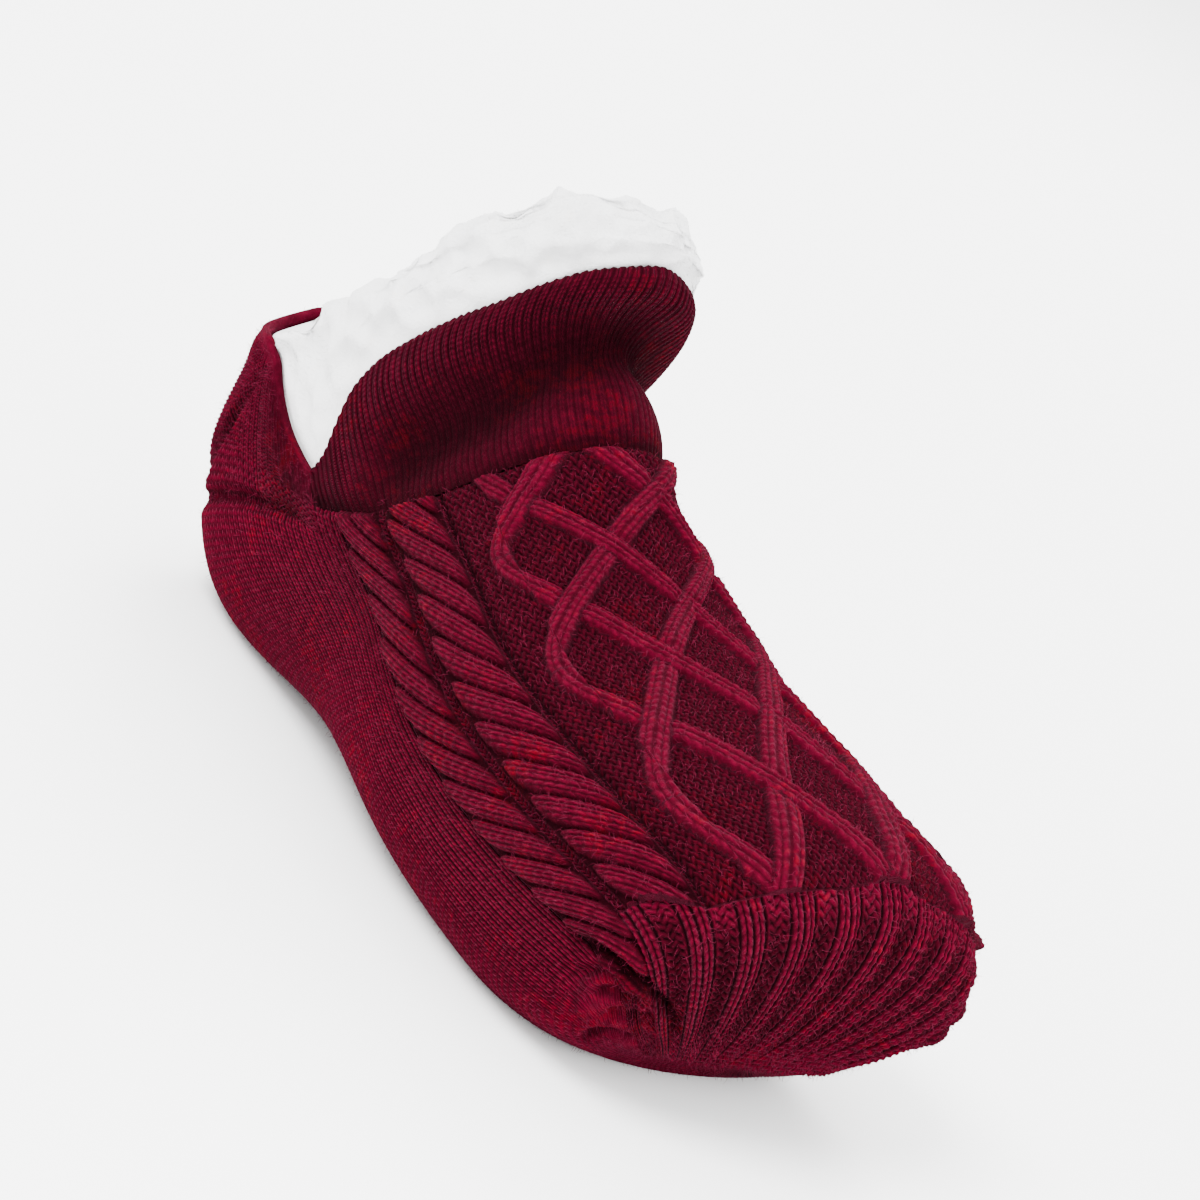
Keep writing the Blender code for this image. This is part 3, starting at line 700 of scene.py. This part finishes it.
def cuff_knit(station, turn, u, v):
    """Fine rib with a rolled lip, a soft trough below it and a sunk foot, with painted shade in the
    trough and on the foot and painted light on the lip and the swell.
    """
    share = np.abs(turn)
    knit = Knit(u * CUFF_RIBS_PER_WALE, v)
    crest = 0.5 - 0.5 * np.cos(2.0 * math.pi * knit.u)
    below = (line(KNIT_EDGE, share) - station) * CUFF_RATE
    above = (station - line(CUFF_FOOT, share)) * CUFF_RATE
    front = smooth((0.47 - share) / 0.12)
    lip = bell((below - LIP_PLACE) / LIP_HALF)
    dip = bell((below - DIP_PLACE) / DIP_HALF) * front
    swell = bell((below - SWELL_PLACE) / SWELL_HALF) * front
    foot = bell(above / CUFF_FOOT_HALF)
    knit.height = (CUFF_RIB_RISE * crest - CUFF_SINK + LIP_RISE * lip * (0.2 + 0.8 * front)
                   - DIP_DEPTH * dip + SWELL_RISE * swell - CUFF_FOOT_DEPTH * foot)
    # Painted shade in the trough and along the foot, and painted light on the lip and the swell
    shade_tone = (0.20 + 0.18 * crest) * (1.0 - 0.88 * dip) * (1.0 - 0.80 * foot)
    knit.shade = shade_tone * (0.90 + 0.75 * lip + 0.25 * swell)
    knit.clean = 0.35 + 0.50 * lip
    return knit


def folds(station, turn):
    """Creases at given places: the heel turn, heel folds, the slit and the gathers beside the toe."""
    share = folded(turn)
    far_toe = ((turn < 0.0) | (turn > 1.0)) & (station < 0.5)
    strength = np.where(far_toe, FAR_TOE_CREASES, 1.0)
    past_turn = (station - line(HEEL_TURN, share) - 0.002) / HEEL_CREASE_REACH
    total = -HEEL_CREASE_DEPTH * bump(past_turn) * smooth((share - 0.56) / 0.06)
    for share_1, station_1, share_2, station_2, depth, reach in CREASES:
        start = np.array([share_1 * HALF_GIRTH, station_1 * FOOT_LENGTH])
        span = np.array([share_2 * HALF_GIRTH, station_2 * FOOT_LENGTH]) - start
        across = share * HALF_GIRTH - start[0]
        along = station * FOOT_LENGTH - start[1]
        part = np.clip((across * span[0] + along * span[1]) / (span @ span), 0.0, 1.0)
        away = np.hypot(across - part * span[0], along - part * span[1])
        fading = 0.25 + 0.75 * smooth((1.0 - np.abs(2.0 * part - 1.0)) / 0.5)
        total = total - depth * bump(away / reach) * fading * strength
    return total


def knit_panel(name, form, stations, turns, courses, pattern, stitch, keep=None, rim=False):
    """Knit surface over a grid of stations and turns, with a rim at its last row where asked."""
    turns = np.broadcast_to(turns[None, :], stations.shape)
    courses = np.broadcast_to(courses[:, None], stations.shape)
    knit = pattern(stations, turns, turns * WALES, courses)
    raised = np.where(knit.purl > 0.5, BAR_SCALE * purl_stitch(knit.u, knit.v),
                      plain_stitch(knit.u, knit.v))
    waves = UNDULATION * noise(form.at(stations, turns), UNDULATION_SIZE, 3)
    creases = folds(stations, turns)
    relief = stitch * (raised * (0.35 + 0.65 * knit.clean) - 0.5)
    points = form.at(stations, turns, knit.height + relief + creases + waves)
    points[..., 2] = np.maximum(points[..., 2], 0.0)
    # Painted shade in the creases, darker the deeper they sink
    shade = knit.shade * (1.0 - np.clip(-creases / CREASE_SHADE_DEPTH, 0.0, CREASE_SHADE_MOST))
    values = {"shade": shade, "purl": knit.purl, "clean": knit.clean}
    pairs = {"stitch": np.stack([knit.u, knit.v], axis=-1)}
    if rim:
        points = np.concatenate([points, rim_points(form, stations[-1], turns[-1])])
        values = {key: drawn_out(value) for key, value in values.items()}
        pairs = {key: drawn_out(value) for key, value in pairs.items()}
        keep = keep if keep is None else drawn_out(keep)
    quads = grid_quads(points.shape[0], points.shape[1], keep)
    return add_mesh(name, points.reshape(-1, 3), quads, values, pairs)


def drawn_out(table):
    """Table with its last row repeated along the rim."""
    return np.concatenate([table, np.repeat(table[-1:], RIM_ROWS, axis=0)])


def rim_points(form, station, turn):
    """Rows that roll over the wall's edge and down inside."""
    rate = form.read(form.rate, station, turn)
    round_rows = RIM_ROWS - 2
    rows = []
    for k in range(1, RIM_ROWS + 1):
        angle = math.pi * min(k / round_rows, 1.0)
        rise = 0.5 * KNIT_WALL * math.sin(angle)
        depth = 0.5 * KNIT_WALL * (1.0 - math.cos(angle))
        drop = 0.004 * max(0, k - round_rows)
        rows.append(form.at(station + (rise - drop) / rate, turn, np.full_like(station, -depth)))
    return np.stack(rows)


def wale_turns(start, end):
    """Turns of the grid's columns between two edges of a piece."""
    count = int(round((end - start) * WALES * COLUMNS_PER_WALE))
    return np.linspace(start, end, count + 1)


def two_panels(names, form, stations, turns, courses, pattern, stitch):
    """Two knit surfaces that share the middle row of one grid."""
    split = len(courses) // 2
    made = []
    for name, part in zip(names, (slice(0, split + 1), slice(split, None))):
        made.append(knit_panel(name, form, stations[part], turns, courses[part], pattern, stitch))
    return made


def instep_pieces(form):
    """Top of the foot, with its last rows turned along the foot of the cuff and tucked under it."""
    turns = wale_turns(-PANEL_EDGE, PANEL_EDGE)
    rows, courses = form.course_stations(0.25, 0.0, INSTEP_STATION, ROWS_PER_COURSE)
    last = line(CUFF_FOOT, np.abs(turns)[None, :]) + TUCK_STATIONS
    late = smooth((rows - TURNING_FROM) / (INSTEP_STATION - TURNING_FROM))[:, None]
    stations = rows[:, None] + (last - INSTEP_STATION) * late
    return two_panels(("instep_front_knit", "instep_back_knit"), form, stations, turns, courses,
                      instep_knit, INSTEP_STITCH)


def sole_pieces(form):
    """Underside and its sides, from the toe to the heel turn."""
    turns = wale_turns(PANEL_EDGE, 2.0 - PANEL_EDGE)
    rows, courses = form.course_stations(0.75, 0.0, HEEL_STATION, SOLE_ROWS_PER_COURSE)
    stations = rows[:, None] / HEEL_STATION * line(HEEL_TURN, folded(turns)[None, :])
    return two_panels(("sole_front_knit", "sole_back_knit"), form, stations, turns, courses,
                      sole_knit, SOLE_STITCH)


def heel_piece(form):
    """Back of the heel, with a rim at its edge and open where the cuff stands."""
    turns = wale_turns(PANEL_EDGE, 2.0 - PANEL_EDGE)
    share = folded(turns)
    foot = line(CUFF_FOOT, share)
    edge = line(KNIT_EDGE, share)
    start = line(HEEL_TURN, share) - TUCK_STATIONS
    low = np.linspace(0.0, 1.0, HEEL_TURN_ROWS + 1)[:, None]
    high = np.linspace(0.0, 1.0, EDGE_ROWS + 1)[1:, None]
    stations = np.concatenate([start + (foot - start) * low, foot + (edge - foot) * high])
    courses = np.arange(len(stations)) / ROWS_PER_COURSE
    keep = np.ones((len(stations) - 1, len(turns) - 1), bool)
    under_cuff = 0.5 * (share[1:] + share[:-1]) < CUFF_END - TUCK_SHARE
    keep[HEEL_TURN_ROWS + TUCK_ROWS:, under_cuff] = False
    return knit_panel("heel_knit", form, stations, turns, courses, heel_knit, HEEL_STITCH, keep, True)


def cuff_piece(form):
    """Ribbed band round the front of the ankle, with a scalloped edge and a rim."""
    turns = wale_turns(-CUFF_END, CUFF_END)
    share = np.abs(turns)
    foot = line(CUFF_FOOT, share)
    part = np.linspace(0.0, 1.0, EDGE_ROWS + 1)[:, None]
    ribs = np.cos(2.0 * math.pi * turns * WALES * CUFF_RIBS_PER_WALE)
    stations = foot + (line(KNIT_EDGE, share) - foot) * part + EDGE_SCALLOP * ribs * part ** 8
    courses = np.arange(EDGE_ROWS + 1) / ROWS_PER_COURSE
    return knit_panel("cuff_knit", form, stations, turns, courses, cuff_knit, CUFF_STITCH, None, True)


def fleece_outline():
    """Places along and across the fleece outline, evenly spaced round it."""
    table = np.array(FLEECE_SECTION + FLEECE_SECTION[:1])
    leg = np.linalg.norm(np.diff(table * np.array([1.5, 1.0]), axis=0), axis=1)
    run = np.concatenate([[0.0], np.cumsum(leg)]) / leg.sum()
    place = np.linspace(0.0, 1.0, FLEECE_STEPS + 1)[:-1]
    return [np.interp(place, run, table[:, k])[:, None] for k in (0, 1)]


def fleece_piece(form):
    """Thick curly roll along the knit edge, and the fibres on the part that shows."""
    turns = np.linspace(-1.0, 1.0, FLEECE_AROUND + 1)[:-1]
    share = np.abs(turns)
    along, across = fleece_outline()
    edge = line(KNIT_EDGE, share)[None, :]
    top = line(FLEECE_TOP, share)[None, :]
    rate = form.read(form.rate, edge[0], turns)[None, :]
    full = smooth((top - edge) / 0.05)
    tilt = np.where(turns > 0.0, NEAR_FLEECE_RISE, FAR_FLEECE_FALL)
    lean = (tilt * np.sin(np.clip(turns / PANEL_EDGE, -1.0, 1.0) * math.pi))[None, :]
    stations = edge + along * np.where(along < 0.0, FLEECE_DEPTH / rate, top + lean - edge)
    reach = across * np.where(across < 0.0, full, 1.0)
    depth = KNIT_WALL + FLEECE_CLEARANCE + reach * FLEECE_THICK * (0.62 + 0.38 * full)
    points = form.at(stations, np.broadcast_to(turns[None, :], stations.shape), -depth)
    ring = np.roll(points, -1, 0) - np.roll(points, 1, 0)
    trip = np.roll(points, -1, 1) - np.roll(points, 1, 1)
    out = np.cross(trip, ring)
    out /= np.maximum(np.linalg.norm(out, axis=2), 1e-12)[:, :, None]
    free = np.clip(smooth((along - 0.02) / 0.25) + smooth((across - 0.3) / 0.3), 0.0, 1.0)
    big = curls(points, BIG_CURL, 1)
    small = curls(points, SMALL_CURL, 2)
    grain = noise(points, WOOL_GRAIN, 5)
    front = smooth((0.62 - share) / 0.45)[None, :]
    push = (BIG_CURL_RISE * (big - 0.45) + SMALL_CURL_RISE * (small - 0.45)
            + WOOL_GRAIN_RISE * grain + FRONT_SWELL * front * smooth((along - 0.25) / 0.5))
    points = points + out * (push * free)[:, :, None]
    index = np.arange(FLEECE_STEPS * FLEECE_AROUND).reshape(FLEECE_STEPS, FLEECE_AROUND)
    above = np.roll(index, -1, 0)
    quads = np.stack([index, np.roll(index, -1, 1), np.roll(above, -1, 1), above], axis=-1)
    # Curl heights, which the fleece material paints as shade between the curls
    values = {"curl": 0.45 + 0.25 * big + 0.30 * small}
    roll = add_mesh("collar_curls", points.reshape(-1, 3), quads.reshape(-1, 4), values)
    shown = (free * smooth((0.80 - share) / 0.10)[None, :]).ravel()
    pile = fibres("collar_pile", points.reshape(-1, 3), out.reshape(-1, 3), PILE_COUNT, PILE_LENGTH,
                  PILE_WIDTH, 7, PILE_LEAN, shown / shown.sum())
    return roll, pile


def fibres(name, points, out, amount, length, width, seed, lean, weights=None):
    """Short bent fibres that stand on a surface."""
    random = np.random.default_rng(seed)
    pick = random.choice(len(points), amount, p=weights)
    root = points[pick]
    normal = out[pick]
    wander = random.normal(size=(amount, 3))
    side = np.cross(normal, wander)
    side /= np.maximum(np.linalg.norm(side, axis=1), 1e-9)[:, None]
    flat = np.cross(side, normal)
    size = length * random.uniform(0.5, 1.3, amount)[:, None]
    first = root + (normal * 0.55 + flat * lean * 0.3) * size
    tip = root + (normal * 0.75 + flat * lean) * size + random.normal(size=(amount, 3)) * size * 0.15
    half = side * width * 0.5
    base = root - normal * 0.15 * length
    places = np.stack([base - half, base + half, first + half * 0.8, first - half * 0.8,
                       tip + half * 0.25, tip - half * 0.25], axis=1).reshape(-1, 3)
    places[:, 2] = np.maximum(places[:, 2], 0.0)
    start = np.arange(amount)[:, None] * 6
    quads = np.concatenate([start + np.array([[0, 1, 2, 3]]), start + np.array([[3, 2, 4, 5]])])
    return add_mesh(name, places, quads, {"curl": np.repeat(random.uniform(0.45, 1.0, amount), 6)})


def vectors(items, key):
    """Array of the vectors that a mesh holds under a key."""
    values = np.zeros(len(items) * 3, np.float32)
    items.foreach_get(key, values)
    return values.reshape(-1, 3)


def knit_fuzz(name, pieces, amount, seed):
    """Loose hairs of the yarn over the points of knit pieces."""
    places = np.concatenate([vectors(piece.data.vertices, "co") for piece in pieces])
    normals = np.concatenate([vectors(piece.data.vertex_normals, "vector") for piece in pieces])
    return fibres(name, places, normals, amount, HAIR_LENGTH, HAIR_WIDTH, seed, HAIR_LEAN)


def inner_fleece(name, form, stations, turns, plain_depth, depth, rise, seed):
    """Curly sheet that faces into the sock, at a depth under the form and with raised curls."""
    turns = np.broadcast_to(turns[None, :], stations.shape)
    plain = form.at(stations, turns, np.full(stations.shape, -plain_depth))
    lump = curls(plain, LINING_CURL, seed)
    points = form.at(stations, turns, rise * lump - depth)
    quads = grid_quads(*stations.shape)[:, ::-1]
    # Curl heights, which the fleece material paints as shade between the curls
    return add_mesh(name, points.reshape(-1, 3), quads, {"curl": lump})


def lining_piece(form):
    """Fleece inside the sock, from under the collar roll to the toe."""
    turns = np.linspace(-1.0, 1.0, 141)
    part = np.linspace(0.0, 1.0, 111)[:, None]
    end = line(KNIT_EDGE, np.abs(turns)[None, :]) - LINING_BELOW_EDGE
    stations = LINING_START + (end - LINING_START) * part
    return inner_fleece("inner_lining", form, stations, turns, LINING_DEPTH - 0.0006, LINING_DEPTH,
                        LINING_CURL_RISE, 4)


def footbed_piece(form):
    """Fleece footbed on the sole's inner face."""
    turns = np.linspace(1.0 - FOOTBED_SHARE, 1.0 + FOOTBED_SHARE, 81)
    rows = np.linspace(FOOTBED_START, FOOTBED_END, 121)[:, None]
    stations = np.broadcast_to(rows, (len(rows), len(turns)))
    return inner_fleece("footbed_fleece", form, stations, turns, FOOTBED_DEPTH - 0.0002,
                        FOOTBED_DEPTH, -FOOTBED_CURL_RISE, 6)


def new_material(name):
    """Material with its node tree and its shader."""
    material = bpy.data.materials.new(name)
    material.use_nodes = True
    tree = material.node_tree
    return material, tree, tree.nodes["Principled BSDF"]


def put(tree, socket, value):
    """Set a number on a socket, or link an output to it."""
    if isinstance(value, (int, float)):
        socket.default_value = value
    elif isinstance(value, tuple):
        socket.default_value = (*value, 1.0)
    else:
        tree.links.new(value, socket)


def math_node(tree, kind, *values, clamp=False):
    """Output of a math node over numbers and other outputs."""
    node = tree.nodes.new("ShaderNodeMath")
    node.operation = kind
    node.use_clamp = clamp
    for socket, value in zip(node.inputs, values):
        put(tree, socket, value)
    return node.outputs[0]


def times(tree, first, second):
    """Product of two values."""
    return math_node(tree, "MULTIPLY", first, second)


def scaled(tree, value, factor, offset, clamp=False):
    """value * factor + offset."""
    return math_node(tree, "MULTIPLY_ADD", value, factor, offset, clamp=clamp)


def attribute(tree, name, output="Fac"):
    """Value that the mesh holds at its points."""
    node = tree.nodes.new("ShaderNodeAttribute")
    node.attribute_name = name
    return node.outputs[output]


def noise_node(tree, scale, detail=3.0, rough=0.6):
    """Noise in the object's own coordinates."""
    node = tree.nodes.new("ShaderNodeTexNoise")
    place = tree.nodes.new("ShaderNodeTexCoord").outputs["Object"]
    put(tree, node.inputs["Vector"], place)
    put(tree, node.inputs["Scale"], scale)
    put(tree, node.inputs["Detail"], detail)
    put(tree, node.inputs["Roughness"], rough)
    return node.outputs["Fac"]


def mix_colour(tree, factor, first, second):
    """Colour between two colours."""
    node = tree.nodes.new("ShaderNodeMix")
    node.data_type = "RGBA"
    put(tree, node.inputs[0], factor)
    put(tree, node.inputs[6], first)
    put(tree, node.inputs[7], second)
    return node.outputs[2]


def bump_node(tree, shader, height, strength, distance):
    """Bend the shader's normal with a height."""
    node = tree.nodes.new("ShaderNodeBump")
    put(tree, node.inputs["Strength"], strength)
    put(tree, node.inputs["Distance"], distance)
    put(tree, node.inputs["Height"], height)
    tree.links.new(node.outputs["Normal"], shader.inputs["Normal"])


def finish_shader(tree, shader, colour, rough, specular):
    """Colour and gloss of a shader."""
    put(tree, shader.inputs["Base Color"], colour)
    put(tree, shader.inputs["Roughness"], rough)
    put(tree, shader.inputs["Specular IOR Level"], specular)


def wave(tree, value):
    """Cosine of a value in turns."""
    return math_node(tree, "COSINE", times(tree, value, 2.0 * math.pi))


def stitch_relief(tree):
    """Height of the stitches, from their places, as in the surface itself."""
    split = tree.nodes.new("ShaderNodeSeparateXYZ")
    tree.links.new(attribute(tree, "stitch", "Vector"), split.inputs[0])
    u, v = split.outputs[0], split.outputs[1]
    side = math_node(tree, "ABSOLUTE", scaled(tree, math_node(tree, "FRACT", u), 2.0, -1.0))
    leg_turn = math_node(tree, "MINIMUM", math_node(tree, "DIVIDE", side, LEG_REACH), 1.0)
    leg = math_node(tree, "SINE", times(tree, leg_turn, math.pi))
    bead = wave(tree, math_node(tree, "ADD", v, times(tree, side, LEG_SLANT)))
    plain = times(tree, leg, scaled(tree, bead, 0.30, 0.70))
    sine = math_node(tree, "SINE", times(tree, u, 2.0 * math.pi))
    column = wave(tree, u)
    row = wave(tree, math_node(tree, "ADD", v, times(tree, sine, BAR_WAVE)))
    first = times(tree, scaled(tree, column, 0.5, 0.5), scaled(tree, row, 0.5, 0.5))
    second = times(tree, scaled(tree, column, -0.5, 0.5), scaled(tree, row, -0.5, 0.5))
    back = math_node(tree, "POWER", math_node(tree, "MAXIMUM", first, second), BAR_POWER)
    chosen = tree.nodes.new("ShaderNodeMix")
    put(tree, chosen.inputs[0], attribute(tree, "purl"))
    put(tree, chosen.inputs[2], plain)
    put(tree, chosen.inputs[3], back)
    return chosen.outputs[0]


def yarn_material():
    """Heathered burgundy yarn, with painted shade between its stitches and in its hollows, and fuzzy
    at the rim.
    """
    material, tree, shader = new_material("burgundy_yarn")
    stitch = stitch_relief(tree)
    clean = attribute(tree, "clean")
    shade = attribute(tree, "shade")
    fluff = noise_node(tree, 2600.0, 3.0, 0.7)
    heather = noise_node(tree, 480.0, 4.0, 0.65)
    patch = noise_node(tree, 62.0, 3.0, 0.55)
    colour = mix_colour(tree, scaled(tree, heather, 3.4, -1.35, True), YARN_BASE, YARN_BRIGHT)
    reddened = scaled(tree, times(tree, heather, patch), 7.0, -2.0, True)
    colour = mix_colour(tree, times(tree, reddened, 0.7), colour, YARN_RED)
    # Painted shade in the gaps between the stitches
    groove_shade = times(tree, scaled(tree, stitch, -1.25, 0.95, True), clean)
    colour = mix_colour(tree, groove_shade, colour, YARN_PAINTED_SHADE)
    # Painted shade from the knit's shade values, lighter where they are high
    colour = mix_colour(tree, scaled(tree, shade, 0.90, 0.08, True), YARN_PAINTED_SHADE, colour)
    finish_shader(tree, shader, colour, 0.95, 0.02)
    # The sheen fades where shade is painted
    put(tree, shader.inputs["Sheen Weight"], scaled(tree, shade, YARN_SHEEN, 0.0, True))
    put(tree, shader.inputs["Sheen Roughness"], 0.20)
    put(tree, shader.inputs["Sheen Tint"], YARN_GLOW)
    height = math_node(tree, "ADD", times(tree, stitch, clean), times(tree, fluff, 0.40))
    bump_node(tree, shader, height, 1.0, YARN_BUMP)
    return material


def hair_material():
    """Loose hair of the yarn, painted lighter than the knit for light caught in the fuzz."""
    material, tree, shader = new_material("burgundy_hair")
    strength = scaled(tree, noise_node(tree, 900.0), 1.6, -0.3, True)
    darker = tuple(0.4 * value for value in YARN_HAIR_LIT)
    finish_shader(tree, shader, mix_colour(tree, strength, darker, YARN_HAIR_LIT), 0.9, 0.05)
    return material


def fleece_material():
    """Off-white curly pile, with painted shade between its curls and faintly warm in places."""
    material, tree, shader = new_material("white_fleece")
    # Painted shade between the curls, from their heights; on the pile fibres a random tone
    shade_tone = scaled(tree, attribute(tree, "curl"), 0.9, 0.35, True)
    colour = mix_colour(tree, shade_tone, FLEECE_SHADE_AND_TONE, FLEECE_LIGHT)
    fleck = scaled(tree, noise_node(tree, 190.0), 6.0, -3.6, True)
    colour = mix_colour(tree, times(tree, fleck, 0.25), colour, FLEECE_WARM)
    finish_shader(tree, shader, colour, 0.95, 0.10)
    put(tree, shader.inputs["Sheen Weight"], 0.4)
    put(tree, shader.inputs["Sheen Roughness"], 0.5)
    bump_node(tree, shader, noise_node(tree, 1500.0, 4.0, 0.7), 0.8, FLEECE_BUMP)
    return material


def dress(piece, node, material):
    """Give a piece its material, and let it ride with the frame and stand for its solid."""
    piece.data.materials.append(material)
    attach(piece, "root")
    if node:
        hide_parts(node)


def floor():
    """Pale floor that reaches past the picture."""
    mesh = bpy.data.meshes.new("floor")
    corners = [(x * FLOOR_REACH, y * FLOOR_REACH, 0) for x, y in ((-1, -1), (1, -1), (1, 1), (-1, 1))]
    mesh.from_pydata(corners, [], [(0, 1, 2, 3)])
    material, tree, shader = new_material("pale_floor")
    finish_shader(tree, shader, FLOOR_PALE, 0.85, 0.1)
    mesh.materials.append(material)
    add_object("floor", mesh)


def lights():
    """Three soft discs round the sock and an even white surround."""
    for name, place, size, power in LIGHTS:
        light = bpy.data.lights.new(name, "AREA")
        light.shape = "DISK"
        light.size = size
        light.energy = power
        made = add_object(name, light)
        made.location = place
        aim = Vector(LIGHTS_AIM) - Vector(place)
        made.rotation_euler = aim.to_track_quat("-Z", "Y").to_euler()
    world = bpy.data.worlds.new("studio")
    world.use_nodes = True
    background = world.node_tree.nodes["Background"]
    background.inputs[0].default_value = (1.0, 1.0, 1.0, 1.0)
    background.inputs[1].default_value = WORLD_STRENGTH
    bpy.context.scene.world = world


def camera():
    """Camera above the near side of the toe, rolled as in the photo."""
    azimuth, elevation, roll = [math.radians(x) for x in
                                (CAMERA_AZIMUTH, CAMERA_ELEVATION, CAMERA_ROLL)]
    back = Vector((math.sin(azimuth) * math.cos(elevation), -math.cos(azimuth) * math.cos(elevation),
                   math.sin(elevation)))
    right = Vector((math.cos(azimuth), math.sin(azimuth), 0.0))
    up = back.cross(right)
    turned_right = right * math.cos(roll) + up * math.sin(roll)
    turned_up = up * math.cos(roll) - right * math.sin(roll)
    data = bpy.data.cameras.new("camera")
    data.lens = CAMERA_LENS
    data.clip_end = 60.0
    made = add_object("camera", data)
    pose = Matrix((turned_right, turned_up, back)).transposed().to_4x4()
    pose.translation = Vector(CAMERA_TARGET) + back * CAMERA_DISTANCE
    made.matrix_world = pose
    bpy.context.scene.camera = made


def main():
    """Cover every solid with its piece, and set up floor, lights and camera."""
    form = Form()
    yarn = yarn_material()
    hair = hair_material()
    fleece = fleece_material()
    upper = instep_pieces(form) + [heel_piece(form)]
    for piece in upper:
        dress(piece, "upper", yarn)
    dress(knit_fuzz("upper_fuzz", upper, UPPER_HAIRS, 21), "upper", hair)
    sole = sole_pieces(form)
    for piece in sole:
        dress(piece, "sole", yarn)
    dress(knit_fuzz("sole_fuzz", sole, SOLE_HAIRS, 22), "sole", hair)
    dress(cuff_piece(form), "cuff", yarn)
    roll, pile = fleece_piece(form)
    dress(roll, "fleece_collar", fleece)
    dress(pile, "fleece_collar", fleece)
    dress(lining_piece(form), None, fleece)
    dress(footbed_piece(form), "insole", fleece)
    floor()
    lights()
    camera()


main()
